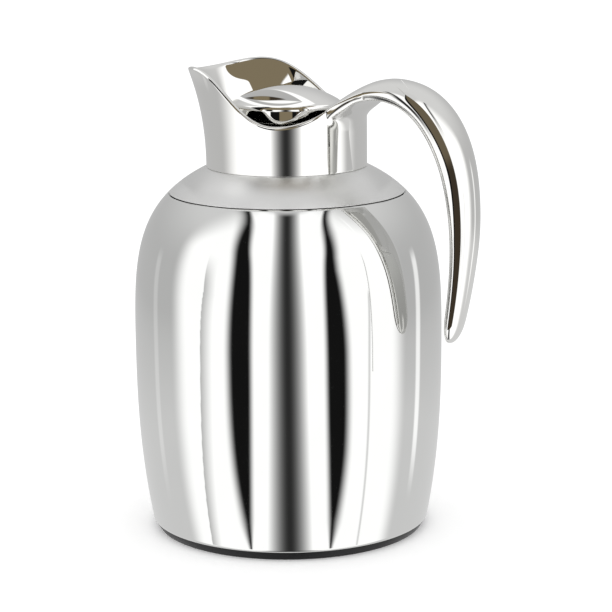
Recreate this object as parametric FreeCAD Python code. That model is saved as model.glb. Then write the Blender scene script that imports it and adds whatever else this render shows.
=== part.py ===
import FreeCAD, Part

import math
import os

from FreeCAD import Vector

# Insulated coffee jug with a push-button pouring stopper, in millimetres.
# The origin is the centre of the face that the jug stands on. +Z is up, +X points to the handle
# and -X to the pouring lip.

# Barrel of polished steel
belly_radius = 72.0
belly_height = 92.0
foot_radius = 65.3
shell_wall = 0.8
rolled_edge = 4.2

# How far the tangents of the barrel's two curves reach, and their slopes at the foot and the neck
foot_pull = 32.0
foot_slope = 0.192
flank_pull = 28.1
dome_pull = 38.5
neck_pull = 36.6
neck_slope = 2.105
wall_spans = 6

# Shoulder dome between the seam and the neck
neck_foot_height = 171.3
seam_drop = 11.9
shoulder_wall = 2.0
shoulder_skirt = 4.0
shoulder_skirt_wall = 1.8

# Base cover that screws into the foot
base_height = 4.3
base_draft = 2.8
base_floor_wall = 3.0
base_recess = 3.0
foot_ring_width = 7.0
base_spigot_height = 9.7
base_spigot_wall = 2.4
thread_ring_wall = 2.8
thread_ring_height = 10.0
thread_clearance = 0.2

# Neck tube and the collar that the stopper screws into
neck_radius = 37.4
neck_wall = 2.5
neck_plate = 3.0
collar_radius = 23.4
collar_wall = 2.6
collar_rise = 10.7
spigot_wall = 6.0
spigot_drop = 13.3
lock_nut_wall = 4.6
lock_nut_height = 7.0

# Rim, from the pouring lip down to the low point; rises are measured from the neck's foot
lip_reach = 10.8
lip_rise = 43.5
lip_flare_power = 2.2
lip_slope = 0.3
neck_levels = 7
crown_reach = 33.0
crown_rise = 46.7
crown_pull = 20.2
low_reach = 16.5
low_rise = 22.5
low_pull_front = 17.6
low_pull_back = 11.0
rim_round = 1.0

# Handle line, which goes on from the rim: root, crest, grip and free tip
root_inset = 4.4
root_rise = 29.1
root_slope_deg = 24.6
root_pull = 13.1
crest_offset = 20.1
crest_rise = 36.7
crest_pull_root = 10.0
crest_pull_grip = 22.0
finger_gap = 22.3
grip_drop = 24.3
grip_pull_crest = 35.9
grip_pull_tip = 15.1
tip_gap = 15.6
tip_drop = 74.1
tip_pull = 14.9
tip_lean_deg = 13.5

# Places along the handle, counted in handle lines from its root; it starts inside the neck's bore
inside_place = -0.15
cover_place = 0.75
bend_place = 1.55
tip_place = 2.75

# Handle section: half width and crown height where the handle starts, is thickest and ends
root_half_width = 17.2
crest_half_width = 14.6
bend_half_width = 13.2
grip_half_width = 10.6
tip_half_width = 7.4
root_crown = 3.0
crest_crown = 6.8
bend_crown = 9.0
grip_crown = 6.4
tip_crown = 4.4
tip_round_deg = 75.0
tip_round_steps = 3
cover_depth = 2.4
cover_margin = 3.0
parting_land = 0.4
root_flare = 9.0
flare_overlap = 1.5
flare_steps = 5

# Glass flask: two walls with a vacuum between them
glass_wall = 1.8
vacuum_gap = 3.2
flask_mouth_radius = 22.0
flask_clearance = 2.3
flask_bottom_corner = 24.0
flask_neck_corner = 4.0
flask_neck_length = 7.0
cushion_radius = 24.0
cushion_height = 6.0
spacer_radius = 6.0
spacer_height = 60.0
spacer_count = 3
mouth_gasket_height = 3.0

# Stopper with its pouring ports and valve seat
stopper_clearance = 0.4
stopper_seat_gap = 0.2
stopper_wall = 2.5
stopper_flange_width = 3.9
stopper_flange_height = 2.5
guide_wall = 2.0
port_count = 6
port_height = 4.2
port_width = 13.0
hub_radius = 8.0
hub_height = 4.0
hub_arm_width = 4.0
hub_arm_count = 3
cup_wall = 2.5
cup_overlap = 6.0
cup_shoulder = 0.6
cup_drop = 11.0
cup_floor = 2.5
gasket_lip_height = 1.2
gasket_clearance = 0.2
mouth_clearance = 0.3
valve_port_radius = 10.0

# Push button, valve and return spring
button_radius = 25.7
button_wall = 2.0
button_rise = 37.3
button_crown_radius = 46.3
button_edge_radius = 3.0
button_skirt = 7.9
button_travel = 4.0
button_boss_radius = 8.0
button_socket_wall = 1.9
button_socket_length = 3.0
stem_radius = 2.6
stem_clearance = 0.3
stem_socket_depth = 6.0
valve_disc_radius = 12.5
valve_disc_height = 2.5
valve_seal_height = 2.2
valve_seal_bore = 7.0
valve_gap = 0.2
valve_nut_radius = 5.0
valve_nut_height = 3.0
spring_wire = 1.1
spring_gap_to_socket = 0.5
spring_turns = 5
spring_samples = 24

# Heights and radii that follow from the sizes above
seam_height = neck_foot_height - seam_drop
root_reach = neck_radius - root_inset
collar_top = neck_foot_height + collar_rise
spigot_radius = collar_radius + spigot_wall
spigot_bottom = neck_foot_height - spigot_drop
mouth_height = spigot_bottom - mouth_gasket_height
flask_bottom = base_recess + base_floor_wall + cushion_height
stopper_radius = collar_radius - stopper_clearance
stopper_bore = stopper_radius - stopper_wall
flange_bottom = collar_top + stopper_seat_gap
flange_top = flange_bottom + stopper_flange_height
button_bore = button_radius - button_wall
guide_radius = button_bore - stopper_clearance
button_top = neck_foot_height + button_rise
button_centre = button_top - button_crown_radius
button_edge_height = button_centre + math.sqrt(
    (button_crown_radius - button_edge_radius) ** 2 - (button_radius - button_edge_radius) ** 2
)
button_bottom = button_edge_height - button_skirt
button_under_radius = button_crown_radius - button_wall
button_under_edge = button_centre + math.sqrt(button_under_radius ** 2 - button_bore ** 2)
guide_top = button_under_edge - button_travel - stopper_clearance
hub_top = flange_bottom + hub_height / 2
stopper_bottom = spigot_bottom + stopper_seat_gap
cup_radius = stopper_bore - thread_clearance
cup_bottom = stopper_bottom - cup_drop
valve_seat = cup_bottom - valve_gap
valve_disc_top = valve_seat - valve_seal_height
valve_disc_bottom = valve_disc_top - valve_disc_height
socket_radius = stem_radius + button_socket_wall
spring_radius = socket_radius + spring_gap_to_socket + spring_wire / 2
spring_seat = button_edge_height - button_edge_radius / 2


def at(x, z):
    """A point of a side view, in the plane that holds the axis and the handle."""
    return Vector(x, 0, z)


def line(*points):
    """Straight edges through side-view points given as (x, z)."""
    corners = [at(*point) for point in points]
    return [Part.LineSegment(a, b).toShape() for a, b in zip(corners, corners[1:])]


def arc(start, middle, end):
    """One round edge through three side-view points given as (x, z)."""
    return [Part.Arc(at(*start), at(*middle), at(*end)).toShape()]


def corner_arc(centre, radius, start_deg, end_deg):
    """A round edge about a side-view centre, between two angles counted from +X towards +Z."""
    def point(angle):
        turn = math.radians(angle)
        return (centre[0] + radius * math.cos(turn), centre[1] + radius * math.sin(turn))

    return arc(point(start_deg), point((start_deg + end_deg) / 2), point(end_deg))


def bezier(*poles):
    """A free curve of the side view with the given poles."""
    curve = Part.BezierCurve()
    curve.setPoles([at(*pole) for pole in poles])
    return curve


def spin(edges):
    """The solid that a closed side-view outline sweeps round the axis."""
    wire = Part.Wire(Part.__sortEdges__(edges))
    return Part.Face(wire).revolve(Vector(0, 0, 0), Vector(0, 0, 1), 360)


def ring(inner, outer, bottom, top):
    """A plain ring about the axis, or a disc where inner is 0."""
    height = top - bottom
    solid = Part.makeCylinder(outer, height, at(0, bottom))
    if inner > 0:
        solid = solid.cut(Part.makeCylinder(inner, height, at(0, bottom)))
    return solid


def solve(function, low, high):
    """The argument between low and high at which a steady function crosses zero."""
    rising = function(high) > function(low)
    for _ in range(60):
        middle = (low + high) / 2
        if (function(middle) > 0) == rising:
            high = middle
        else:
            low = middle
    return (low + high) / 2


# The barrel's outline: a flank from the foot to the belly and a dome from the belly to the neck
flank = bezier(
    (foot_radius, base_height),
    (foot_radius + foot_slope * foot_pull, base_height + foot_pull),
    (belly_radius, belly_height - flank_pull),
    (belly_radius, belly_height),
)
neck_tangent = neck_pull / math.hypot(neck_slope, 1)
dome = bezier(
    (belly_radius, belly_height),
    (belly_radius, belly_height + dome_pull),
    (neck_radius + neck_slope * neck_tangent, neck_foot_height - neck_tangent),
    (neck_radius, neck_foot_height),
)


def inside(curve, parameter, depth):
    """The point that lies a wall's depth inside a curve of the barrel's outline."""
    tangent = curve.tangent(parameter)[0]
    return curve.value(parameter) + Vector(-tangent.z, 0, tangent.x).normalize() * depth


def height_on(curve, height, depth=0):
    """The curve's parameter at which the point inside it has the given height."""
    return solve(lambda u: inside(curve, u, depth).z - height, 0, 1)


def wall_line(curve, depth, start, end):
    """A smooth edge at a constant depth inside a stretch of the barrel's outline."""
    steps = [start + (end - start) * k / wall_spans for k in range(wall_spans + 1)]
    spline = Part.BSplineCurve()
    spline.interpolate([inside(curve, u, depth) for u in steps])
    return spline.toShape()


def shell_radius(height):
    """The radius of the shell's inner face on the flank."""
    return inside(flank, height_on(flank, height, shell_wall), shell_wall).x


def make_outer_shell():
    """Steel barrel with one wall all over, rolled in at the foot and cut level at the seam."""
    edge_top = base_height + shell_wall
    seam = height_on(dome, seam_height)
    seam_inside = height_on(dome, seam_height, shell_wall)
    flank_start = height_on(flank, edge_top, shell_wall)
    top_outer = dome.value(seam)
    top_inner = inside(dome, seam_inside, shell_wall)
    foot_inner = inside(flank, flank_start, shell_wall)
    hole = foot_radius - rolled_edge
    edges = [flank.toShape(), dome.toShape(0, seam)]
    edges += line((top_outer.x, seam_height), (top_inner.x, seam_height))
    edges.append(wall_line(dome, shell_wall, seam_inside, 0))
    edges.append(wall_line(flank, shell_wall, 1, flank_start))
    edges += line(
        (foot_inner.x, edge_top), (hole, edge_top), (hole, base_height), (foot_radius, base_height)
    )
    return spin(edges)


def make_shoulder_ring():
    """Plated dome that goes on from the shell's curve, with a skirt that centres it in the shell."""
    seam = height_on(dome, seam_height)
    seam_edge = dome.value(seam)
    shell_edge = inside(dome, height_on(dome, seam_height, shell_wall), shell_wall)
    skirt = shell_edge.x - thread_clearance
    skirt_inner = skirt - shoulder_skirt_wall
    under = neck_foot_height - shoulder_wall
    wall_start = solve(lambda u: inside(dome, u, shoulder_wall).x - skirt_inner, 0, 1)
    wall_end = height_on(dome, under, shoulder_wall)
    start = inside(dome, wall_start, shoulder_wall)
    end = inside(dome, wall_end, shoulder_wall)
    hole = spigot_radius + thread_clearance
    edges = [dome.toShape(seam, 1)]
    edges += line((neck_radius, neck_foot_height), (hole, neck_foot_height), (hole, under), (end.x, under))
    edges.append(wall_line(dome, shoulder_wall, wall_end, wall_start))
    edges += line(
        (start.x, start.z),
        (skirt_inner, seam_height - shoulder_skirt),
        (skirt, seam_height - shoulder_skirt),
        (skirt, seam_height),
        (seam_edge.x, seam_height),
    )
    return spin(edges)


def make_base_cover():
    """Black cover: a foot ring, a raised floor and a spigot that screws into the shell's foot."""
    table_radius = foot_radius - base_draft
    recess_radius = table_radius - foot_ring_width
    floor_top = base_recess + base_floor_wall
    spigot = foot_radius - rolled_edge - thread_clearance
    spigot_inner = spigot - base_spigot_wall
    spigot_top = base_height + base_spigot_height
    return spin(line(
        (0, base_recess),
        (recess_radius, base_recess),
        (recess_radius, 0),
        (table_radius, 0),
        (foot_radius, base_height),
        (spigot, base_height),
        (spigot, spigot_top),
        (spigot_inner, spigot_top),
        (spigot_inner, floor_top),
        (0, floor_top),
        (0, base_recess),
    ))


def make_base_thread_ring():
    """Ring that lies on the shell's rolled edge and takes the base cover's spigot."""
    inner = foot_radius - rolled_edge
    bottom = base_height + shell_wall
    return ring(inner, inner + thread_ring_wall, bottom, bottom + thread_ring_height)


# The line that runs along the rim and on along the handle, seen from the side
lip = (-neck_radius - lip_reach, neck_foot_height + lip_rise)
crown = (-crown_reach, neck_foot_height + crown_rise)
low = (low_reach, neck_foot_height + low_rise)
root = (root_reach, neck_foot_height + root_rise)
crest = (neck_radius + crest_offset, neck_foot_height + crest_rise)
grip = (belly_radius + finger_gap, neck_foot_height - grip_drop)
tip = (belly_radius + tip_gap, neck_foot_height - tip_drop)
root_turn = math.radians(root_slope_deg)
tip_turn = math.radians(tip_lean_deg)
lip_run = (crown[0] - lip[0]) / 3
lip_line = bezier(
    lip, (lip[0] + lip_run, lip[1] + lip_slope * lip_run), (crown[0] - lip_run, crown[1]), crown
)
rim_line = bezier(crown, (crown[0] + crown_pull, crown[1]), (low[0] - low_pull_front, low[1]), low)
swoop_line = bezier(low, (low[0] + low_pull_back, low[1]), root)
handle_lines = [
    bezier(
        root,
        (root[0] + root_pull * math.cos(root_turn), root[1] + root_pull * math.sin(root_turn)),
        (crest[0] - crest_pull_root, crest[1]),
        crest,
    ),
    bezier(crest, (crest[0] + crest_pull_grip, crest[1]), (grip[0], grip[1] + grip_pull_crest), grip),
    bezier(
        grip,
        (grip[0], grip[1] - grip_pull_tip),
        (tip[0] + tip_pull * math.sin(tip_turn), tip[1] + tip_pull * math.cos(tip_turn)),
        tip,
    ),
]

# Named handle sections as (place, half width, crown height)
handle_keys = [
    (0, root_half_width, root_crown),
    (1, crest_half_width, crest_crown),
    (bend_place, bend_half_width, bend_crown),
    (2, grip_half_width, grip_crown),
    (tip_place, tip_half_width, tip_crown),
]


def handle_section(place):
    """The handle's section at a place, in even steps between the named ones."""
    for low_key, high_key in zip(handle_keys, handle_keys[1:]):
        if place <= high_key[0]:
            break
    share = (place - low_key[0]) / (high_key[0] - low_key[0])
    return tuple(a + share * (b - a) for a, b in zip(low_key, high_key))


def round_end_section(angle_deg):
    """A section of the free tip, which shrinks as a round end does."""
    turn = math.radians(angle_deg)
    share = math.sin(turn) / math.sin(math.radians(tip_round_deg))
    place = tip_place + share * (len(handle_lines) - tip_place)
    return place, math.cos(turn) * tip_half_width, math.cos(turn) * tip_crown


# Sections that the handle is lofted through: the named ones, those midway and the round end
handle_places = [inside_place, cover_place / 2, cover_place, 1, (1 + bend_place) / 2, bend_place]
handle_places += [(bend_place + 2) / 2, 2, (2 + tip_place) / 2, tip_place]
handle_sections = [handle_section(place) for place in handle_places]
handle_sections += [
    round_end_section(tip_round_deg * (k + 1) / tip_round_steps) for k in range(tip_round_steps)
]


def handle_frame(place):
    """Point of the handle line at a place, its direction there and the one out of the crown."""
    index = max(0, min(int(place), len(handle_lines) - 1))
    curve = handle_lines[index]
    along = curve.tangent(place - index)[0].normalize()
    return curve.value(place - index), along, Vector(-along.z, 0, along.x)


def handle_outline(place, half_width, crown_height):
    """Section of the handle: an elliptic crown, short upright sides, and a flat, round-edged inner side."""
    centre, _, out = handle_frame(place)
    share = min(1, crown_height / tip_crown)
    depth = cover_depth * share
    land = parting_land * share
    round_edge = depth - land
    bend = round_edge * (1 - math.sqrt(0.5))

    def point(across, up):
        return centre + Vector(0, across, 0) + out * up

    def edge_arc(sign):
        ends = [point(sign * half_width, -land), point(sign * (half_width - round_edge), -depth)]
        return Part.Arc(ends[0], point(sign * (half_width - bend), bend - depth), ends[1]).toShape()

    crown = Part.Ellipse(point(half_width, land), point(0, crown_height), point(0, land))
    flat = half_width - round_edge
    return Part.Wire([
        crown.toShape(0, math.pi / 2),
        crown.toShape(math.pi / 2, math.pi),
        Part.LineSegment(point(-half_width, land), point(-half_width, -land)).toShape(),
        edge_arc(-1),
        Part.LineSegment(point(-flat, -depth), point(flat, -depth)).toShape(),
        edge_arc(1),
        Part.LineSegment(point(half_width, -land), point(half_width, land)).toShape(),
    ])


def make_whole_handle():
    """The handle before it is parted, from inside the neck to its free tip."""
    return Part.makeLoft([handle_outline(*section) for section in handle_sections], True)


def cover_space():
    """Everything on the inner side of the handle line, from past the root to beyond the tip."""
    start, _, start_out = handle_frame(cover_place)
    end, end_along, end_out = handle_frame(len(handle_lines))
    beyond = end + end_along * cover_margin
    depth = cover_depth + cover_margin
    edges = [handle_lines[0].toShape(cover_place, 1)]
    edges += [curve.toShape() for curve in handle_lines[1:]]
    corners = [end, beyond, beyond - end_out * depth, start - start_out * depth, start]
    edges += [Part.LineSegment(a, b).toShape() for a, b in zip(corners, corners[1:])]
    face = Part.Face(Part.Wire(Part.__sortEdges__(edges)))
    face.translate(Vector(0, -neck_radius, 0))
    return face.extrude(Vector(0, 2 * neck_radius, 0))


def make_handle_inner_cover():
    """Strip that closes the inner side of the handle, from past its root to the free tip."""
    return make_whole_handle().common(cover_space())


def neck_outline(height, inset):
    """Level section of the neck: round behind the axis, drawn out to the lip before it."""
    rise = max(0, height - neck_foot_height)
    reach = lip_reach * (rise / lip_rise) ** lip_flare_power
    back = neck_radius - inset
    front = back + reach
    behind = Part.Arc(Vector(0, -back, height), Vector(back, 0, height), Vector(0, back, height))
    before = Part.Ellipse(Vector(-front, 0, height), Vector(0, back, height), Vector(0, 0, height))
    return Part.Wire([behind.toShape(), before.toShape(-math.pi / 2, math.pi / 2)])


def neck_form(bottom, inset):
    """The solid inside the neck's walls, from a bottom height to above the crown of the rim."""
    top = neck_foot_height + crown_rise + neck_wall
    heights = [bottom + (top - bottom) * k / (neck_levels - 1) for k in range(neck_levels)]
    return Part.makeLoft([neck_outline(height, inset) for height in heights], True)


def above_the_rim():
    """Everything above the rim line and above the root of the handle."""
    reach = 2 * neck_radius
    ceiling = neck_foot_height + 2 * crown_rise
    edges = [curve.toShape() for curve in (lip_line, rim_line, swoop_line, handle_lines[0])]
    edges += line(
        crest, (crest[0], ceiling), (-reach, ceiling), (-reach, lip[1] - lip_slope * (reach + lip[0])), lip
    )
    face = Part.Face(Part.Wire(Part.__sortEdges__(edges)))
    face.translate(Vector(0, -reach, 0))
    return face.extrude(Vector(0, 2 * reach, 0))


def flare_section(reach):
    """Upright section of the flare under the handle's root, a half ellipse that hangs from the handle."""
    place = solve(lambda u: handle_lines[0].value(u).x - reach, 0, 1)
    inward = min(root_flare, max(0, neck_radius + root_flare - reach))
    drop = root_flare - math.sqrt(root_flare ** 2 - inward ** 2)
    half_width = root_half_width + place * (crest_half_width - root_half_width) - cover_depth
    centre = handle_lines[0].value(place) - Vector(0, 0, cover_depth - flare_overlap)
    side = Vector(0, half_width, 0)
    ellipse = Part.Ellipse(centre + side, centre - Vector(0, 0, flare_overlap + drop), centre)
    return Part.Wire([
        ellipse.toShape(0, math.pi / 2),
        ellipse.toShape(math.pi / 2, math.pi),
        Part.LineSegment(centre - side, centre + side).toShape(),
    ])


def make_root_flare():
    """Concave sweep that carries the neck's back wall into the underside of the handle."""
    shares = [(k / flare_steps) ** 2 for k in range(flare_steps + 1)]
    reaches = [root_reach] + [neck_radius + root_flare * share for share in shares]
    return Part.makeLoft([flare_section(reach) for reach in reaches], True)


def make_neck_spout_handle():
    """One plated moulding: neck tube with its lip, collar for the stopper, and the swept handle."""
    plate_top = neck_foot_height + neck_plate
    tube = neck_form(neck_foot_height, 0).cut(above_the_rim())
    rim = [e for e in tube.Edges if e.BoundBox.ZMin > collar_top and not isinstance(e.Curve, Part.Line)]
    tube = tube.makeFillet(rim_round, rim)
    handle = make_whole_handle().cut(cover_space())
    opening = ring(0, collar_radius, neck_foot_height, plate_top)
    collar = ring(collar_radius, collar_radius + collar_wall, neck_foot_height, collar_top)
    spigot = ring(collar_radius, spigot_radius, spigot_bottom, plate_top)
    hollow = tube.fuse([handle, make_root_flare()]).cut(neck_form(plate_top, neck_wall))
    return hollow.fuse([collar, spigot]).cut(opening).removeSplitter()


def make_neck_lock_nut():
    """Ring nut on the neck's spigot that clamps the shoulder from below."""
    inner = spigot_radius + thread_clearance
    top = neck_foot_height - shoulder_wall
    return ring(inner, inner + lock_nut_wall, top - lock_nut_height, top)


def flask_radius():
    """Outermost radius of the flask, which clears the shell both at its lower corner and at the belly."""
    corner = shell_radius(flask_bottom + flask_bottom_corner)
    return min(corner, belly_radius - shell_wall) - flask_clearance


def flask_line(depth, top):
    """Half outline of the flask at a depth inside its outermost face, from the axis up to the mouth."""
    corner_height = flask_bottom + flask_bottom_corner
    radius = flask_radius()
    mouth = flask_mouth_radius + 2 * glass_wall + vacuum_gap
    neck_x = mouth + flask_neck_corner
    neck_z = mouth_height - flask_neck_length
    shoulder = radius - neck_x
    shoulder_z = neck_z - flask_neck_corner - shoulder
    inset = radius - flask_bottom_corner
    edges = line((0, flask_bottom + depth), (inset, flask_bottom + depth))
    edges += corner_arc((inset, corner_height), flask_bottom_corner - depth, -90, 0)
    edges += line((radius - depth, corner_height), (radius - depth, shoulder_z))
    edges += corner_arc((neck_x, shoulder_z), shoulder - depth, 0, 90)
    edges += corner_arc((neck_x, neck_z), flask_neck_corner + depth, 270, 180)
    edges += line((mouth - depth, neck_z), (mouth - depth, top))
    return edges


def flask_depths():
    """Depths of the four glass faces, from the outermost to the innermost."""
    return (0, glass_wall, glass_wall + vacuum_gap, 2 * glass_wall + vacuum_gap)


def make_liner_outer_wall():
    """Outer glass wall, open at the top where the inner wall's lip closes it."""
    outer, inner, _, _ = flask_depths()
    mouth = flask_mouth_radius + flask_depths()[3]
    top = mouth_height - glass_wall
    edges = flask_line(outer, top) + flask_line(inner, top)
    edges += line((mouth - outer, top), (mouth - inner, top))
    edges += line((0, flask_bottom + outer), (0, flask_bottom + inner))
    return spin(edges)


def make_liner_inner_wall():
    """Inner glass wall that holds the coffee, with the lip that joins the two walls at the mouth."""
    _, _, outer, inner = flask_depths()
    mouth = flask_mouth_radius + inner
    lip_bottom = mouth_height - glass_wall
    edges = flask_line(outer, lip_bottom) + flask_line(inner, mouth_height)
    edges += line(
        (mouth - outer, lip_bottom),
        (mouth, lip_bottom),
        (mouth, mouth_height),
        (mouth - inner, mouth_height),
    )
    edges += line((0, flask_bottom + outer), (0, flask_bottom + inner))
    return spin(edges)


def make_liner_spacers():
    """Round pads that hold the two glass walls apart."""
    radius = flask_radius()
    _, gap_outer, gap_inner, _ = flask_depths()
    bottom = spacer_height - spacer_radius
    top = spacer_height + spacer_radius
    space = ring(radius - gap_inner, radius - gap_outer, bottom, top)
    pads = []
    for k in range(spacer_count):
        turn = 2 * math.pi * k / spacer_count
        out = Vector(math.cos(turn), math.sin(turn), 0)
        pads.append(Part.makeCylinder(spacer_radius, radius, at(0, spacer_height), out).common(space))
    return Part.makeCompound([solid for pad in pads for solid in pad.Solids])


def make_liner_cushion():
    """Rubber disc between the base cover's floor and the flask."""
    return ring(0, cushion_radius, flask_bottom - cushion_height, flask_bottom)


def make_mouth_gasket():
    """Silicone ring between the flask's mouth and the neck's spigot."""
    return ring(flask_mouth_radius, flask_mouth_radius + flask_depths()[3], mouth_height, spigot_bottom)


def spokes(count, length, width, bottom, top):
    """Bars from the axis outwards, evenly turned."""
    bars = []
    for k in range(count):
        bar = Part.makeBox(length, width, top - bottom, Vector(0, -width / 2, bottom))
        bar.rotate(Vector(0, 0, 0), Vector(0, 0, 1), 360 * k / count)
        bars.append(bar)
    return bars


def make_stopper_body():
    """Stopper tube with a flange, pouring ports above it, and a hub that guides the valve stem."""
    hub_bottom = hub_top - hub_height
    tube = ring(stopper_bore, stopper_radius, stopper_bottom, flange_top)
    flange = ring(stopper_bore, stopper_radius + stopper_flange_width, flange_bottom, flange_top)
    guide = ring(guide_radius - guide_wall, guide_radius, flange_top - stopper_flange_height, guide_top)
    ports = spokes(port_count, 2 * guide_radius, port_width, flange_top, flange_top + port_height)
    arms = spokes(hub_arm_count, guide_radius, hub_arm_width, hub_bottom, hub_top)
    inside_tube = ring(0, stopper_radius, hub_bottom, hub_top)
    hub = ring(0, hub_radius, hub_bottom, hub_top).fuse([arm.common(inside_tube) for arm in arms])
    hole = ring(0, stem_radius + stem_clearance, hub_bottom, hub_top)
    return tube.fuse([flange, guide.cut(ports[0].fuse(ports[1:])), hub]).cut(hole).removeSplitter()


def make_stopper_cup():
    """Lower half of the stopper: a cup that butts on the tube, with the valve seat in its floor."""
    top = stopper_bottom + cup_overlap
    lip_radius = flask_mouth_radius - 2 * mouth_clearance
    wall = ring(cup_radius - cup_wall, cup_radius, cup_bottom, top)
    floor = ring(valve_port_radius, cup_radius, cup_bottom, cup_bottom + cup_floor)
    lip_ring = ring(valve_port_radius, lip_radius, cup_bottom, cup_bottom + gasket_lip_height)
    shoulder = ring(cup_radius - cup_wall, stopper_bore + cup_shoulder, mouth_height, stopper_bottom)
    return wall.fuse([floor, lip_ring, shoulder]).removeSplitter()


def make_stopper_gasket():
    """Ring round the stopper's cup that seals it in the flask's mouth."""
    bottom = cup_bottom + gasket_lip_height + gasket_clearance
    inner = cup_radius + gasket_clearance
    outer = flask_mouth_radius - mouth_clearance
    return ring(inner, outer, bottom, mouth_height - gasket_clearance)


def make_push_button():
    """Domed cap with a skirt over the stopper's guide, and a socket for the valve stem."""
    edge = (button_radius - button_edge_radius, button_edge_height)
    edge_deg = math.degrees(math.atan2(button_edge_height - button_centre, edge[0]))
    under = button_top - button_wall
    under_deg = math.degrees(math.acos(button_bore / button_under_radius))
    edges = corner_arc((0, button_centre), button_crown_radius, 90, edge_deg)
    edges += corner_arc(edge, button_edge_radius, edge_deg, 0)
    edges += line(
        (button_radius, button_edge_height),
        (button_radius, button_bottom),
        (button_bore, button_bottom),
        (button_bore, button_under_edge),
    )
    edges += corner_arc((0, button_centre), button_under_radius, under_deg, 90)
    edges += line((0, under), (0, button_top))
    boss = ring(0, button_boss_radius, spring_seat, under)
    dome_space = Part.makeSphere(button_under_radius + button_wall / 2, at(0, button_centre))
    boss = boss.common(dome_space)
    socket = ring(0, socket_radius, spring_seat - button_socket_length, spring_seat)
    stem_top = spring_seat - button_socket_length + stem_socket_depth
    hole = ring(0, stem_radius, spring_seat - button_socket_length, stem_top)
    return spin(edges).fuse([boss, socket]).cut(hole).removeSplitter()


def make_valve_stem():
    """Rod from the button's socket down through the hub to the valve disc."""
    top = spring_seat - button_socket_length + stem_socket_depth
    return ring(0, stem_radius, valve_disc_bottom - valve_nut_height, top)


def make_valve_disc():
    """Disc that carries the seal, clamped on the stem."""
    return ring(stem_radius, valve_disc_radius, valve_disc_bottom, valve_disc_top)


def make_valve_seal():
    """Silicone washer that closes the port in the stopper's cup."""
    return ring(valve_seal_bore, valve_disc_radius, valve_disc_top, valve_seat)


def make_valve_nut():
    """Round nut that holds the disc on the stem."""
    return ring(stem_radius, valve_nut_radius, valve_disc_bottom - valve_nut_height, valve_disc_bottom)


def spring_point(turn, bottom, pitch):
    """A point of the spring's helix and the direction in which it runs there."""
    angle = 2 * math.pi * turn
    point = Vector(spring_radius * math.cos(angle), spring_radius * math.sin(angle), bottom + pitch * turn)
    run = Vector(-spring_radius * math.sin(angle), spring_radius * math.cos(angle), pitch / (2 * math.pi))
    return point, run.normalize()


def tangent_arc(start, corner, end):
    """The round edge from start to end whose tangents there meet at the corner."""
    chord_middle = (start + end) / 2
    half_chord = (end - start).Length / 2
    height = (corner - chord_middle).Length
    turn = math.atan2(height, half_chord)
    middle = chord_middle + (corner - chord_middle) * (math.tan(turn / 2) / math.tan(turn))
    return Part.Arc(start, middle, end).toShape()


def biarc(start, start_run, end, end_run):
    """Two tangent arcs from one point and direction to another."""
    across = end - start
    square = 2 * (start_run.dot(end_run) - 1)
    linear = -2 * across.dot(start_run + end_run)
    constant = across.dot(across)
    reach = (-linear - math.sqrt(linear * linear - 4 * square * constant)) / (2 * square)
    first = start + start_run * reach
    last = end - end_run * reach
    joint = (first + last) / 2
    return [tangent_arc(start, first, joint), tangent_arc(joint, last, end)]


def make_return_spring():
    """Open coil spring between the stopper's hub and the button, on arcs of a quarter turn."""
    bottom = hub_top + spring_wire / 2
    pitch = (spring_seat - hub_top - spring_wire) / spring_turns
    quarters = [spring_point(k / 4, bottom, pitch) for k in range(4 * spring_turns + 1)]
    edges = []
    for (start, start_run), (end, end_run) in zip(quarters, quarters[1:]):
        edges += biarc(start, start_run, end, end_run)
    start, start_run = quarters[0]
    section = Part.Wire(Part.Circle(start, start_run, spring_wire / 2).toShape())
    places = range(spring_samples * spring_turns + 1)
    samples = [spring_point(k / spring_samples, bottom, pitch)[0] for k in places]
    gaps = [
        (samples[i] - samples[j]).Length - spring_wire
        for i in places
        for j in places[i + spring_samples // 2:]
    ]
    print(f"return spring: least gap between turns {min(gaps):.2f} mm")
    return Part.Wire(edges).makePipeShell([section], True, False)


pieces = {
    "outer_shell": make_outer_shell,
    "shoulder_ring": make_shoulder_ring,
    "base_cover": make_base_cover,
    "base_thread_ring": make_base_thread_ring,
    "neck_spout_handle": make_neck_spout_handle,
    "handle_inner_cover": make_handle_inner_cover,
    "neck_lock_nut": make_neck_lock_nut,
    "liner_outer_wall": make_liner_outer_wall,
    "liner_inner_wall": make_liner_inner_wall,
    "liner_spacers": make_liner_spacers,
    "liner_cushion": make_liner_cushion,
    "mouth_gasket": make_mouth_gasket,
    "stopper_body": make_stopper_body,
    "stopper_cup": make_stopper_cup,
    "stopper_gasket": make_stopper_gasket,
    "push_button": make_push_button,
    "valve_stem": make_valve_stem,
    "valve_disc": make_valve_disc,
    "valve_seal": make_valve_seal,
    "valve_nut": make_valve_nut,
    "return_spring": make_return_spring,
}

os.makedirs("parts", exist_ok=True)
for name, make in pieces.items():
    shape = make()
    print(f"{name}: {len(shape.Solids)} solids, {shape.Volume:.0f} cubic mm, valid {shape.isValid()}")
    shape.exportStep(f"parts/{name}.step")
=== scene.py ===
"""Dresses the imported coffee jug: mirror-smooth metal, plastics, glass and rubber in a striped light tent."""

from __future__ import annotations

import logging
import math
from dataclasses import dataclass, field
from enum import Enum

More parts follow.
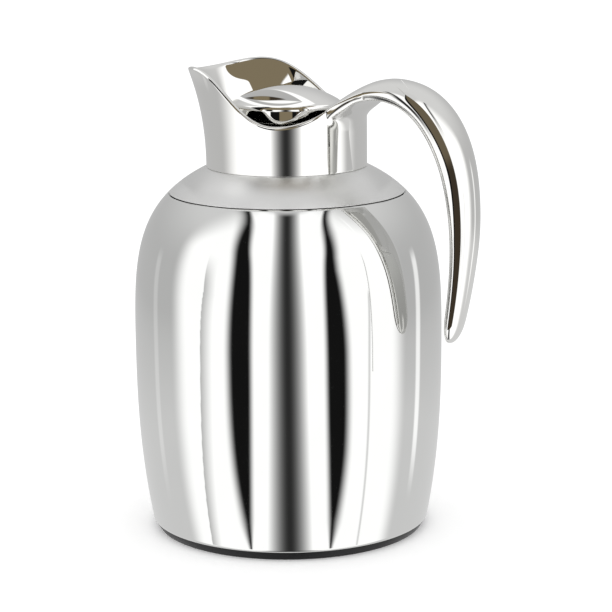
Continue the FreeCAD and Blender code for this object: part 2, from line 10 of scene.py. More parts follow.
import bmesh
import bpy
import numpy as np
from mathutils import Matrix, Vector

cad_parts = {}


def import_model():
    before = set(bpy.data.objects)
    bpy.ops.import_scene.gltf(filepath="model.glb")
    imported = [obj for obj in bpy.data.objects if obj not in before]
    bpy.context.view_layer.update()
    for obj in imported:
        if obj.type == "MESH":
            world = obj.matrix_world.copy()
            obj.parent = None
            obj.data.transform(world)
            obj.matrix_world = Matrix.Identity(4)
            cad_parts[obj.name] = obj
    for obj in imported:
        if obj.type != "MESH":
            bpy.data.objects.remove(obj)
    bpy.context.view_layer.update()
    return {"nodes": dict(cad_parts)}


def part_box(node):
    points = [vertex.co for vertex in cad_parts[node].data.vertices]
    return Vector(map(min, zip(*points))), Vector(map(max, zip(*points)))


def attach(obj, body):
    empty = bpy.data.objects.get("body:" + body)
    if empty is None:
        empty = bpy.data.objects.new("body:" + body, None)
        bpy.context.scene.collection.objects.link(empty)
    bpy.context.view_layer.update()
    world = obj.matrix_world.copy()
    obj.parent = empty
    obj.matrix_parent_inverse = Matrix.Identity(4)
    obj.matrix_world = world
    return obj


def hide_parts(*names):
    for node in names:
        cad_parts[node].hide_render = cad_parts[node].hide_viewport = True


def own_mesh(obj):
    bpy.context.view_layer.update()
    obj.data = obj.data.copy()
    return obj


LOG = logging.getLogger("coffee_jug")
MM = 0.001
TINT = "tint"
WHITE = (1.0, 1.0, 1.0, 1.0)
SAME_POINT = 1e-7
NO_LENGTH = 1e-8
TINY_ANGLE = 1e-6

Points = np.ndarray
Numbers = np.ndarray | float
Pair = tuple[float, float]
Triple = tuple[float, float, float]
Colour = Triple
Piece = bpy.types.Object


class Slot(str, Enum):
    """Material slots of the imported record."""

    STEEL = "polished_steel"
    CHROME = "chrome_plating"
    BLACK = "black_plastic"
    STOPPER = "stopper_plastic"
    GLASS = "silvered_glass"
    FIBRE = "fibre_pad"
    SILICONE = "silicone"
    SPRING = "spring_steel"
    SATIN = "satin_plating"


# Curves and grids


def bezier(poles: list[Pair], count: int) -> Points:
    """Points of a Bezier curve, its poles weighted by the Bernstein polynomials at even steps.

    Args:
        poles: Side-view poles as (x, z) in millimetres.
        count: Number of points.

    Returns:
        An array of count side-view points.
    """
    t = np.linspace(0.0, 1.0, count)[:, None]
    degree = len(poles) - 1
    weights = [math.comb(degree, k) * t ** k * (1 - t) ** (degree - k) for k in range(degree + 1)]
    return sum(weight * np.array(pole, float) for weight, pole in zip(weights, poles))


def chain(stretches: list[list[Pair]], count: int) -> Points:
    """Bezier curves joined end to end, with the point at each joint kept once."""
    first, *others = [bezier(poles, count) for poles in stretches]
    return np.vstack([first, *(curve[1:] for curve in others)])


def unit(vectors: Points) -> Points:
    """Vectors along the last axis, each divided by its own length."""
    return vectors / np.linalg.norm(vectors, axis=-1)[..., None]


def offset(line: Points, depth: float) -> Points:
    """The line moved by a depth to its left, square to its own direction."""
    along = unit(np.gradient(line, axis=0))
    return line + depth * np.stack([-along[:, 1], along[:, 0]], 1)


def rounded(corners: list[Pair], radius: float, steps: int = 5, largest_share: float = 0.45) -> Points:
    """A closed outline with each corner replaced by a parabola between its two tangent points.

    Args:
        corners: Corners in order, as (x, z) in millimetres.
        radius: How far the rounding reaches along each side.
        steps: Points on each corner.
        largest_share: Most of a side that one rounding may take.

    Returns:
        The points of the outline.
    """
    here = np.array(corners, float)
    tangents = []
    for turn in (1, -1):
        side = np.roll(here, turn, 0) - here
        reach = np.minimum(radius, largest_share * np.linalg.norm(side, axis=1))[:, None]
        tangents.append(here + reach * unit(side))
    start, end = tangents
    t = np.linspace(0, 1, steps)[None, :, None]
    curve = (1 - t) ** 2 * start[:, None] + 2 * t * (1 - t) * here[:, None] + t ** 2 * end[:, None]
    return curve.reshape(-1, 2)


def smooth_step(value: Points, low: Numbers, high: Numbers) -> Points:
    """0 below low and 1 above high, with a cubic ease between them."""
    share = np.clip((value - low) / (high - low), 0, 1)
    return share * share * (3 - 2 * share)


def between(value: Points, low: Numbers, high: Numbers, soft: float) -> Points:
    """1 between two edges and 0 outside them, with a cubic ease over each edge."""
    return smooth_step(value, low - soft, low + soft) * (1 - smooth_step(value, high - soft, high + soft))


def near(value: Points, centre: float, full: float, end: float) -> Points:
    """1 close to a centre and 0 far from it, with a cubic ease between two distances."""
    return 1 - smooth_step(np.abs(value - centre), full, end)


def quads(rows: int, columns: int, closed_rows: bool, closed_columns: bool) -> Points:
    """Corner numbers of the faces of a grid that may close on itself either way.

    Args:
        rows: Number of grid rows.
        columns: Number of grid columns.
        closed_rows: True if the last row joins the first.
        closed_columns: True if the last column joins the first.

    Returns:
        An array of four corner numbers a face.
    """
    i, j = np.meshgrid(
        np.arange(rows if closed_rows else rows - 1),
        np.arange(columns if closed_columns else columns - 1),
        indexing="ij",
    )
    here = i * columns
    above = (i + 1) % rows * columns
    right = (j + 1) % columns
    return np.stack([here + j, here + right, above + right, above + j], -1).reshape(-1, 4)


def sew(loops: Points) -> list[list[int]]:
    """Faces between each closed ring and the next.

    Args:
        loops: Corner numbers as (rings, corners).

    Returns:
        Four corner numbers a face.
    """
    here, following = loops[:-1], loops[1:]
    corners = [here, np.roll(here, -1, 1), np.roll(following, -1, 1), following]
    return np.stack(corners, -1).reshape(-1, 4).tolist()


def add_object(name: str, data: bpy.types.ID) -> Piece:
    """A new object at the origin, linked to the scene.

    Args:
        name: Name of the object.
        data: Its mesh or camera.

    Returns:
        The object.
    """
    made = bpy.data.objects.new(name, data)
    bpy.context.scene.collection.objects.link(made)
    return made


def add_mesh(name: str, vertices: Points, faces: list) -> Piece:
    """A smooth-shaded object with doubled points merged and faces pointing outwards.

    Args:
        name: Name of the object.
        vertices: Points in millimetres.
        faces: Corner numbers of each face.

    Returns:
        The new object.
    """
    mesh = bpy.data.meshes.new(name)
    mesh.from_pydata((np.asarray(vertices) * MM).tolist(), [], [list(map(int, face)) for face in faces])
    work = bmesh.new()
    work.from_mesh(mesh)
    bmesh.ops.remove_doubles(work, verts=work.verts, dist=SAME_POINT)
    bmesh.ops.dissolve_degenerate(work, edges=work.edges, dist=NO_LENGTH)
    bmesh.ops.recalc_face_normals(work, faces=work.faces)
    work.to_mesh(mesh)
    work.free()
    mesh.polygons.foreach_set("use_smooth", np.ones(len(mesh.polygons), bool))
    return add_object(name, mesh)


def spin(name: str, outline: Points, steps: int, closed: bool = True) -> Piece:
    """The surface that a side-view outline sweeps round the axis: (r cos a, r sin a, z) at even angles a.

    Args:
        name: Name of the object.
        outline: Points as (radius, height) in millimetres.
        steps: Number of angles.
        closed: True if the outline's last point joins its first.

    Returns:
        The new object.
    """
    angle = 2 * np.pi * np.arange(steps) / steps
    radius, height = outline[:, :1], outline[:, 1:]
    grid = np.stack([radius * np.cos(angle), radius * np.sin(angle), height + 0 * angle], -1)
    return add_mesh(name, grid.reshape(-1, 3), quads(len(outline), steps, closed, True))


# Node groups and finishes


class Nodes:
    """A shader node tree that is filled node by node."""

    def __init__(self, tree: bpy.types.NodeTree) -> None:
        """Keeps the tree of a material or a group."""
        self.tree = tree

    def fill(self, node: bpy.types.Node, inputs: dict) -> None:
        """Gives a node's inputs their values and links.

        Args:
            node: The node.
            inputs: By name or number of the input, a value or the output that is linked to it.
        """
        for name, value in inputs.items():
            if isinstance(value, bpy.types.NodeSocket):
                self.tree.links.new(value, node.inputs[name])
            else:
                node.inputs[name].default_value = value

    def node(self, kind: str, inputs: dict | None = None, **settings: object) -> bpy.types.NodeOutputs:
        """Adds a node.

        Args:
            kind: Node type, without the word ShaderNode before it.
            inputs: Values and links of its inputs.
            settings: Properties to set on it.

        Returns:
            Its outputs.
        """
        made = self.tree.nodes.new("ShaderNode" + kind)
        for key, value in settings.items():
            setattr(made, key, value)
        self.fill(made, inputs or {})
        return made.outputs


class NodeGroup(Nodes):
    """A shader node group that gives one mask, value or normal."""

    def __init__(self, name: str, given: dict, result: str, kind: str = "NodeSocketFloat") -> None:
        """Starts a group that has only its sockets.

        Args:
            name: Name of the group.
            given: Default of each input by its name.
            result: Name of the output.
            kind: Socket type of the output.
        """
        super().__init__(bpy.data.node_groups.new(name, "ShaderNodeTree"))
        for socket, default in given.items():
            made = self.tree.interface.new_socket(socket, in_out="INPUT", socket_type="NodeSocketFloat")
            made.default_value = default
        self.tree.interface.new_socket(result, in_out="OUTPUT", socket_type=kind)
        self.given = self.tree.nodes.new("NodeGroupInput").outputs
        self.result = result

    def end(self, source: bpy.types.NodeSocket) -> bpy.types.NodeTree:
        """Links a socket to the group's output and gives the finished group."""
        self.fill(self.tree.nodes.new("NodeGroupOutput"), {self.result: source})
        return self.tree


def make_marks_group() -> bpy.types.NodeTree:
    """Roughness of a handled surface: a base value, cloudy smudges and fine hairline marks.

    Returns:
        The node group.
    """
    group = NodeGroup("handling_marks", {"Base": 0.03, "Smudges": 0.03, "Hairlines": 0.02}, "Roughness")
    place = group.node("TexCoord")["Object"]
    cloud = group.node("TexNoise", {"Vector": place, "Scale": 38.0, "Detail": 5.0})["Fac"]
    stretched = group.node(
        "Mapping", {"Vector": place, "Scale": (60.0, 60.0, 1900.0), "Rotation": (0.5, 0.3, 0.0)}
    )["Vector"]
    scratch = group.node("TexNoise", {"Vector": stretched, "Scale": 1.0, "Detail": 2.0})["Fac"]
    rough = group.given["Base"]
    for noise, low, high, strength in ((cloud, 0.45, 0.8, "Smudges"), (scratch, 0.62, 0.72, "Hairlines")):
        mask = group.node("MapRange", {"Value": noise, "From Min": low, "From Max": high})["Result"]
        parts = {0: mask, 1: group.given[strength], 2: rough}
        rough = group.node("Math", parts, operation="MULTIPLY_ADD")[0]
    return group.end(rough)


def make_waves_group() -> bpy.types.NodeTree:
    """Normal of a surface that is not perfectly even: slow waves and a fine grain, both as bumps.

    Returns:
        The node group.
    """
    given = {"Wave Scale": 45.0, "Wave Height": 0.00002, "Grain Scale": 900.0, "Grain Height": 0.000001}
    group = NodeGroup("uneven_surface", given, "Normal", "NodeSocketVector")
    place = group.node("TexCoord")["Object"]
    normal = {}
    for kind, detail in (("Wave", 0.0), ("Grain", 2.0)):
        scale, distance = group.given[kind + " Scale"], group.given[kind + " Height"]
        noise = group.node("TexNoise", {"Vector": place, "Scale": scale, "Detail": detail})["Fac"]
        bump = group.node("Bump", {"Strength": 1.0, "Height": noise, "Distance": distance, **normal})
        normal = {"Normal": bump["Normal"]}
    return group.end(normal["Normal"])


def make_tone_group() -> bpy.types.NodeTree:
    """Mask of slow light and dark patches, for colour that is not the same all over.

    Returns:
        The node group.
    """
    group = NodeGroup("tone_patches", {"Scale": 60.0}, "Mask")
    place = group.node("TexCoord")["Object"]
    noise = {"Vector": place, "Scale": group.given["Scale"], "Detail": 4.0}
    return group.end(group.node("TexNoise", noise)["Fac"])


@dataclass(frozen=True)
class Finish:
    """How one material looks: two tones that it wanders between, its gloss and its unevenness."""

    slot: Slot
    dark: Colour
    light: Colour
    roughness: float
    smudges: float
    metallic: float = 0.0
    hairlines: float = 0.02
    wave_scale: float = 45.0
    wave_height: float = 0.0
    grain_scale: float = 1500.0
    grain_height: float = 1e-7
    tone_scale: float = 60.0
    specular: float = 0.5

    def make(self, groups: dict[str, bpy.types.NodeTree]) -> bpy.types.Material:
        """The finish as a material.

        Args:
            groups: The shared node groups by name.

        Returns:
            The material.
        """
        material = bpy.data.materials.new(self.slot.value)
        material.use_nodes = True
        nodes = Nodes(material.node_tree)
        marks = {"Base": self.roughness, "Smudges": self.smudges, "Hairlines": self.hairlines}
        waves = {
            "Wave Scale": self.wave_scale,
            "Wave Height": self.wave_height,
            "Grain Scale": self.grain_scale,
            "Grain Height": self.grain_height,
        }
        mask = nodes.node("Group", {"Scale": self.tone_scale}, node_tree=groups["tone"])["Mask"]
        tones = {"Factor": mask, "A": (*self.dark, 1.0), "B": (*self.light, 1.0)}
        looks = {
            "Metallic": self.metallic,
            "Specular IOR Level": self.specular,
            "Base Color": nodes.node("Mix", tones, data_type="RGBA")["Result"],
            "Roughness": nodes.node("Group", marks, node_tree=groups["marks"])["Roughness"],
            "Normal": nodes.node("Group", waves, node_tree=groups["waves"])["Normal"],
        }
        nodes.fill(material.node_tree.nodes["Principled BSDF"], looks)
        return material


FINISHES = (
    Finish(
        Slot.STEEL, (0.77, 0.775, 0.765), (0.80, 0.80, 0.79),
        metallic=1.0, roughness=0.02, smudges=0.03, wave_scale=30.0, wave_height=0.00001,
    ),
    Finish(
        Slot.CHROME, (0.83, 0.827, 0.81), (0.86, 0.857, 0.84),
        metallic=1.0, roughness=0.015, smudges=0.03, wave_scale=70.0, wave_height=0.00003,
    ),
    Finish(
        Slot.SATIN, (0.82, 0.82, 0.81), (0.87, 0.87, 0.865),
        metallic=1.0, roughness=0.33, smudges=0.06, wave_scale=60.0, wave_height=0.00003,
    ),
    Finish(
        Slot.BLACK, (0.010, 0.010, 0.011), (0.018, 0.018, 0.019),
        roughness=0.36, smudges=0.12, hairlines=0.05, grain_scale=2600.0, grain_height=0.00002, specular=0.15,
    ),
    Finish(
        Slot.STOPPER, (0.016, 0.016, 0.017), (0.030, 0.030, 0.031),
        roughness=0.42, smudges=0.10, hairlines=0.05, grain_scale=1800.0, grain_height=0.00002,
    ),
    Finish(
        Slot.GLASS, (0.80, 0.80, 0.80), (0.86, 0.86, 0.85), metallic=1.0, roughness=0.05, smudges=0.08,
        wave_scale=22.0, wave_height=0.00005, grain_scale=900.0, grain_height=1e-6,
    ),
    Finish(
        Slot.FIBRE, (0.50, 0.46, 0.39), (0.62, 0.58, 0.50),
        roughness=0.85, smudges=0.10, hairlines=0.0, grain_height=0.0002,
    ),
    Finish(
        Slot.SILICONE, (0.52, 0.52, 0.51), (0.62, 0.62, 0.60),
        roughness=0.45, smudges=0.15, hairlines=0.0, grain_scale=1800.0, grain_height=0.00002,
    ),
    Finish(
        Slot.SPRING, (0.52, 0.52, 0.53), (0.63, 0.63, 0.64),
        metallic=1.0, roughness=0.22, smudges=0.10, hairlines=0.06, grain_scale=2200.0, grain_height=0.00001,
    ),
)


class Palette:
    """Every material of the jug by its slot."""

    def __init__(self) -> None:
        """Makes the shared groups and the materials."""
        groups = {"marks": make_marks_group(), "waves": make_waves_group(), "tone": make_tone_group()}
        self.materials = {finish.slot: finish.make(groups) for finish in FINISHES}

    def dress(self, piece: Piece, slot: Slot) -> Piece:
        """Gives a piece the one material of a slot.

        Args:
            piece: Object to dress.
            slot: Material slot of the record.

        Returns:
            The same piece.
        """
        piece.data.materials.clear()
        piece.data.materials.append(self.materials[slot])
        return piece

    def stand_in(self, piece: Piece, node: str, body: str, slot: Slot) -> Piece:
        """Dresses a new piece, lets it ride on a body and puts it in a CAD node's place.

        Args:
            piece: The new piece.
            node: CAD node that it stands for.
            body: Body that it moves with.
            slot: Its material slot.

        Returns:
            The same piece.
        """
        self.dress(piece, slot)
        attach(piece, body)
        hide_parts(node)
        return piece


# Lines that several pieces share


@dataclass(frozen=True)
class JugLines:
    """The jug's side view in millimetres: barrel, neck, rim and handle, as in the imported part."""

    belly_radius: float = 72.0
    belly_height: float = 92.0
    foot_radius: float = 65.3
    base_height: float = 4.3
    foot_pull: float = 32.0
    foot_slope: float = 0.192
    flank_pull: float = 28.1
    dome_pull: float = 38.5
    neck_pull: float = 36.6
    neck_slope: float = 2.105
    neck_radius: float = 37.4
    neck_foot: float = 171.3
    spigot_radius: float = 29.4
    seam_drop: float = 11.9
    lip_reach: float = 10.8
    lip_rise: float = 43.5
    lip_flare_power: float = 2.2
    lip_slope: float = 0.3
    crown_reach: float = 33.0
    crown_rise: float = 46.7
    crown_pull: float = 20.2
    low_reach: float = 16.5
    low_rise: float = 22.5
    low_pull_front: float = 17.6
    low_pull_back: float = 11.0
    root_inset: float = 4.4
    root_rise: float = 29.1
    root_slope_deg: float = 24.6
    root_pull: float = 13.1
    crest_offset: float = 20.1
    crest_rise: float = 36.7
    crest_pull_root: float = 10.0
    crest_pull_grip: float = 22.0
    finger_gap: float = 22.3
    grip_drop: float = 24.3
    grip_pull_crest: float = 35.9
    grip_pull_tip: float = 15.1
    tip_gap: float = 15.6
    tip_drop: float = 74.1
    tip_pull: float = 14.9
    tip_lean_deg: float = 13.5

    @property
    def seam(self) -> float:
        """Height of the seam between shell and shoulder."""
        return self.neck_foot - self.seam_drop

    @property
    def root(self) -> Pair:
        """Where the handle's line leaves the rim, as (x, z)."""
        return self.neck_radius - self.root_inset, self.neck_foot + self.root_rise

    def flank(self, count: int) -> Points:
        """Barrel from its foot to its belly, as (radius, height).

        Args:
            count: Number of points.

        Returns:
            The points.
        """
        poles = [
            (self.foot_radius, self.base_height),
            (self.foot_radius + self.foot_slope * self.foot_pull, self.base_height + self.foot_pull),
            (self.belly_radius, self.belly_height - self.flank_pull),
            (self.belly_radius, self.belly_height),
        ]
        return bezier(poles, count)

    def dome(self, count: int) -> Points:
        """Barrel and shoulder from the belly to the neck's foot, as (radius, height).

        Args:
            count: Number of points.

        Returns:
            The points.
        """
        tangent = self.neck_pull / math.hypot(self.neck_slope, 1)
        poles = [
            (self.belly_radius, self.belly_height),
            (self.belly_radius, self.belly_height + self.dome_pull),
            (self.neck_radius + self.neck_slope * tangent, self.neck_foot - tangent),
            (self.neck_radius, self.neck_foot),
        ]
        return bezier(poles, count)

    def rim(self, count: int = 200) -> Points:
        """Rim from the lip over its crown and low point to the handle's root, as (x, z).

        Args:
            count: Points on each of the three curves.

        Returns:
            The points in order of x.
        """
        lip = (-self.neck_radius - self.lip_reach, self.neck_foot + self.lip_rise)
        crown = (-self.crown_reach, self.neck_foot + self.crown_rise)
        low = (self.low_reach, self.neck_foot + self.low_rise)
        run = (crown[0] - lip[0]) / 3
        stretches = [
            [lip, (lip[0] + run, lip[1] + self.lip_slope * run), (crown[0] - run, crown[1]), crown],
            [crown, (crown[0] + self.crown_pull, crown[1]), (low[0] - self.low_pull_front, low[1]), low],
            [low, (low[0] + self.low_pull_back, low[1]), self.root],
        ]
        return chain(stretches, count)

    def handle(self, count: int = 401) -> Points:
        """Handle line from its root over the crest and the grip to the tip, as (x, z), evenly in place.

        Args:
            count: Points on each of the three curves.

        Returns:
            The points; place 0 is the root and place 3 the tip.
        """
        root = self.root
        crest = (self.neck_radius + self.crest_offset, self.neck_foot + self.crest_rise)
        grip = (self.belly_radius + self.finger_gap, self.neck_foot - self.grip_drop)
        tip = (self.belly_radius + self.tip_gap, self.neck_foot - self.tip_drop)
        slope = math.radians(self.root_slope_deg)
        lean = math.radians(self.tip_lean_deg)
        after_root = (root[0] + self.root_pull * math.cos(slope), root[1] + self.root_pull * math.sin(slope))
        after_crest = (crest[0] + self.crest_pull_grip, crest[1])
        before_tip = (tip[0] + self.tip_pull * math.sin(lean), tip[1] + self.tip_pull * math.cos(lean))
        stretches = [
            [root, after_root, (crest[0] - self.crest_pull_root, crest[1]), crest],
            [crest, after_crest, (grip[0], grip[1] + self.grip_pull_crest), grip],
            [grip, (grip[0], grip[1] - self.grip_pull_tip), before_tip, tip],
        ]
        return chain(stretches, count)


# Pieces of the jug


@dataclass
class Barrel:
    """Polished shell, plated shoulder dome and black base cover, all spun about the axis."""

    lines: JugLines
    shell_wall: float = 0.8
    shoulder_wall: float = 2.0
    rolled_edge: float = 4.2
    roll_inset: float = 1.4
    roll_rise: float = 1.5
    foot_edge: float = 0.6
    seam_round: float = 0.35
    seam_share: float = 0.3
    seam_inset: float = 0.3
    seam_gap: float = 0.1
    base_draft: float = 2.8
    base_recess: float = 3.0
    base_floor: float = 3.0
    base_round: float = 0.5
    foot_ring_width: float = 7.0
    spigot_height: float = 9.7
    spigot_wall: float = 2.4
    thread_clearance: float = 0.2
    skirt_drop: float = 4.0
    skirt_wall: float = 1.8
    skirt_gap: float = 0.6
    steps: int = 256
    flank_points: int = 90
    shell_points: int = 400
    shell_stride: int = 4
    shoulder_points: int = 500
    shoulder_stride: int = 2

    def build_shell(self) -> Piece:
        """Outer curve of flank and dome up to the seam, a small round at its edge, and the inner curve back.

        Returns:
            The shell.
        """
        lines = self.lines
        dome = lines.dome(self.shell_points)
        dome = dome[dome[:, 1] <= lines.seam]
        outer = np.vstack([lines.flank(self.flank_points), dome[1 :: self.shell_stride], dome[-1:]])
        inner = offset(outer, self.shell_wall)[::-1]
        outer[-1] += (-self.seam_share * self.seam_round, -self.seam_round)
        top = np.array([outer[-1] + (-self.seam_round, 0.0), inner[0] + (0.0, -self.seam_gap)])
        foot_in = lines.foot_radius - self.rolled_edge
        foot_top = lines.base_height + self.shell_wall
        inner = inner[inner[:, 1] > foot_top + self.roll_rise]
        foot = np.array([
            (lines.foot_radius - self.roll_inset, foot_top),
            (foot_in, foot_top),
            (foot_in, lines.base_height),
            (lines.foot_radius - self.foot_edge, lines.base_height),
        ])
        return spin("shell_skin", np.vstack([outer, top, inner, foot]), self.steps)

    def build_shoulder(self) -> Piece:
        """The dome's curve from the seam to the neck, closed underneath by its wall and a centring skirt.

        Returns:
            The shoulder.
        """
        lines = self.lines
        dome = lines.dome(self.shoulder_points)
        outer = dome[dome[:, 1] >= lines.seam][:: self.shoulder_stride]
        under = lines.neck_foot - self.shoulder_wall
        hole = lines.spigot_radius + self.thread_clearance
        skirt = outer[0, 0] - self.shell_wall - self.skirt_gap
        skirt_in = skirt - self.skirt_wall
        inner = offset(outer, self.shoulder_wall)[::-1]
        inner = inner[(inner[:, 1] < under) & (inner[:, 0] < skirt_in)]
        start = outer[0] + (-self.seam_inset, 0.0)
        outer[0] += (-self.seam_gap, self.seam_share * self.seam_round)
        top = np.array([(hole, lines.neck_foot), (hole, under)])
        low = lines.seam - self.skirt_drop
        foot = np.array([(skirt_in, lines.seam), (skirt_in, low), (skirt, low), (skirt, lines.seam), start])
        return spin("shoulder_skin", np.vstack([outer, top, inner, foot]), self.steps)

    def build_base(self) -> Piece:
        """Foot ring, raised floor and spigot as one outline with small rounds at every corner.

        Returns:
            The base cover.
        """
        table = self.lines.foot_radius - self.base_draft
        recess = table - self.foot_ring_width
        floor = self.base_recess + self.base_floor
        spigot = self.lines.foot_radius - self.rolled_edge - self.thread_clearance
        spigot_in = spigot - self.spigot_wall
        edge = self.lines.base_height
        top = edge + self.spigot_height
        corners = [
            (0.0, self.base_recess),
            (recess, self.base_recess),
            (recess, 0.0),
            (table, 0.0),
            (self.lines.foot_radius, edge),
            (spigot, edge),
            (spigot, top),
            (spigot_in, top),
            (spigot_in, floor),
            (0.0, floor),
        ]
        return spin("base_skin", np.maximum(rounded(corners, self.base_round), 0.0), self.steps)

    def dress(self, palette: Palette) -> list[Piece]:
        """Builds the three pieces, gives them their finishes and puts them in the CAD nodes' places.

        Args:
            palette: The materials.

        Returns:
            The pieces.
        """
        return [
            palette.stand_in(self.build_shell(), "outer_shell", "jug", Slot.STEEL),
            palette.stand_in(self.build_shoulder(), "shoulder_ring", "jug", Slot.SATIN),
            palette.stand_in(self.build_base(), "base_cover", "jug", Slot.BLACK),
        ]


@dataclass
class NeckAndHandle:
    """Neck, lip and swept handle as one cage for subdivision, and the strip that closes the handle."""

    lines: JugLines
    wall: float = 2.5
    plate: float = 3.0
    collar_radius: float = 23.4
    collar_wall: float = 2.6
    collar_rise: float = 10.7
    spigot_drop: float = 13.3
    handle_columns: int = 10
    other_columns: int = 54
    wall_rows: int = 9
    levels: int = 2
    # Inset and rise of the rows round the neck's foot, and the rise at which its wall starts
    foot_rows: tuple[Pair, ...] = ((1.6, 0.0), (0.45, 0.0), (0.1, 0.12), (0.0, 0.5))
    wall_rise: float = 1.6
    # Drop of the rows below the rim on both sides, and how far through the wall each row over it lies
    rim_drops: Triple = (0.3, 1.05, 1.9)
    rim_shares: tuple[float, ...] = (0.5, 0.868, 1.0, 1.0)
    rim_inset: float = 0.33
    rim_end_inset: float = 0.05
    inside_drop: float = 3.2
    # The rim rolls inwards beside the handle, where its rows and the inside wall start lower
    roll_start_share: float = 0.55
    roll_end_deg: float = 20.0
    roll_outward: float = 0.35
    roll_drops: tuple[float, ...] = (0.9, 2.6, 4.8, 6.8)
    inside_roll_drop: float = 7.0
    # Fillet under the handle's root: drop and reach of its two rows as shares of the flare
    root_flare: float = 9.0
    least_flare: float = 1.2
    flare_rows: tuple[Pair, ...] = ((0.5, 0.16), (0.16, 0.45))
    slit_reach: float = 1.2
    # Rows in the corner between the wall and the plate, and rounds of plate and collar
    corner_rise: float = 1.5
    corner_row: Pair = (0.3, 0.1)
    fillet: float = 0.6
    edge_round: float = 0.5
    plate_run: float = 4.0
    collar_run: float = 3.0
    # Sections along the handle, from its root at place 0 to its tip at place 3
    root_places: tuple[float, ...] = (0.24, 0.42, 0.58)
    cover_place: float = 0.75
    cover_depth: float = 2.4
    land: float = 0.4
    step_share: float = 0.01
    grip_start: float = 0.14
    grip_rings: int = 15
    round_angles: tuple[float, ...] = (22.0, 42.0, 58.0, 70.0, 78.0)
    section_places: tuple[float, ...] = (0.0, 1.0, 1.55, 2.0, 2.75)
    section_widths: tuple[float, ...] = (17.2, 14.6, 13.2, 10.6, 7.4)
    section_crowns: tuple[float, ...] = (3.0, 6.8, 9.0, 6.4, 4.4)
    crown_angles: tuple[float, ...] = (180.0, 172.0, 155.0, 132.0, 110.0, 90.0, 70.0, 48.0, 25.0, 8.0, 0.0)
    # Half of the handle's inner side, as (share of the half width, inset, height)
    flat_half: tuple[Triple, ...] = ((1.0, 0.4, 0.0), (0.75, 0.0, 0.0), (0.45, 0.0, 0.0), (0.2, 0.0, 0.0))
    round_edge: tuple[Triple, ...] = ((1.0, 0.02, -0.45), (1.0, 0.5, -1.7))
    round_inset: float = 2.2
    round_middle: float = 0.4
    line: Points = field(init=False)
    rim_line: Points = field(init=False)

    def __post_init__(self) -> None:
        """Keeps the handle line and the rim line."""
        self.line = self.lines.handle()
        self.rim_line = self.lines.rim()

    @property
    def side_angle(self) -> float:
        """Angle about the axis at which the handle's side leaves the neck."""
        return math.asin(self.section_widths[0] / self.lines.neck_radius)

    @property
    def root_line(self) -> Points:
        """The handle line's first stretch."""
        return self.line[: len(self.line) // 3 + 1]

    @property
    def tip_place(self) -> float:
        """Place of the last section, where the round tip starts."""
        return self.section_places[-1]

    @property
    def grip_places(self) -> list[float]:
        """Places of the sections that the strip closes, up to where the round tip starts."""
        even = np.linspace(self.cover_place + self.grip_start, self.tip_place, self.grip_rings)
        return [self.cover_place + 2 * self.step_share, *even]

    @property
    def round_tip(self) -> list[Pair]:
        """Places and sizes of the sections of the round tip, by the sines and cosines of the round angles."""
        angle = np.radians(self.round_angles)
        places = self.tip_place + (3 - self.tip_place) * np.sin(angle) / np.sin(angle[-1])
        return list(zip(places, np.cos(angle)))

    def line_height(self, x: Points) -> Points:
        """Height of the rim and of the handle's first stretch above a place along X."""
        whole = np.vstack([self.rim_line, self.root_line[1:]])
        return np.interp(x, whole[:, 0], whole[:, 1])

    def section(self, place: Points) -> tuple[Points, Points]:
        """Half width and crown of the handle, from the named sections by a smooth cubic.

        Args:
            place: Places along the handle.

        Returns:
            Half widths and crown heights.
        """
        knots = np.array(self.section_places)
        span = np.clip(np.searchsorted(knots, place, "right") - 1, 0, len(knots) - 2)
        width = knots[span + 1] - knots[span]
        t = (place - knots[span]) / width
        results = []
        for values in (np.array(self.section_widths), np.array(self.section_crowns)):
            slope = np.gradient(values, knots)
            results.append(
                (1 + 2 * t) * (1 - t) ** 2 * values[span]
                + t * (1 - t) ** 2 * width * slope[span]
                + t ** 2 * (3 - 2 * t) * values[span + 1]
                + t ** 2 * (t - 1) * width * slope[span + 1]
            )
        return results[0], results[1]

    def section_at(self, place: float) -> Pair:
        """Half width and crown at one place; the round tip has those of its start."""
        width, crown = self.section(np.array(min(place, self.tip_place)))
        return float(width), float(crown)

    def handle_frame(self, place: float) -> tuple[Points, Points]:
        """Point of the handle line at a place and the direction out of the crown there.

        Args:
            place: Place along the handle.

        Returns:
            The point and the direction, both as (x, z).
        """
        places = np.linspace(0, 3, len(self.line))
        point, along = (
            np.array([np.interp(place, places, values[:, k]) for k in (0, 1)])
            for values in (self.line, np.gradient(self.line, axis=0))
        )
        along = unit(along)
        return point, np.array([-along[1], along[0]])

    def ring(self, place: float, under: Points, share: float = 1.0, crown: bool = True) -> Points:
        """One closed section of the handle: the crown from side to side, then back along the inner side.

        Args:
            place: Place along the handle.
            under: Inner side from +y to -y without the ends, as (share of the half width, inset, height).
            share: How far the section has shrunk at the round tip.
            crown: False for the strip, whose upper side is flat.

        Returns:
            Twenty points.
        """
        width, height = (size * share for size in self.section_at(place))
        point, out = self.handle_frame(place)
        if crown:
            angle = np.radians(self.crown_angles)
            across = width * np.cos(angle)
            up = self.land * share + (height - self.land * share) * np.sin(angle)
            up[[0, -1]] = 0.0
        else:
            flat = self.flat_side()[::-1]
            across = np.r_[-width, width * flat[:, 0] + flat[:, 1] * share, width]
            up = np.zeros(len(across))
        y = np.r_[across, width * under[:, 0] - under[:, 1] * share]
        rise = np.r_[up, under[:, 2] * share]
        return np.stack([point[0] + out[0] * rise, y, point[1] + out[1] * rise], 1)

    def both_sides(self, half: Points, depth: float) -> Points:
        """An inner side from its half, a middle point and the half's mirror image."""
        return np.vstack([half, [(0.0, 0.0, -depth)], half[::-1] * (-1, -1, 1)])

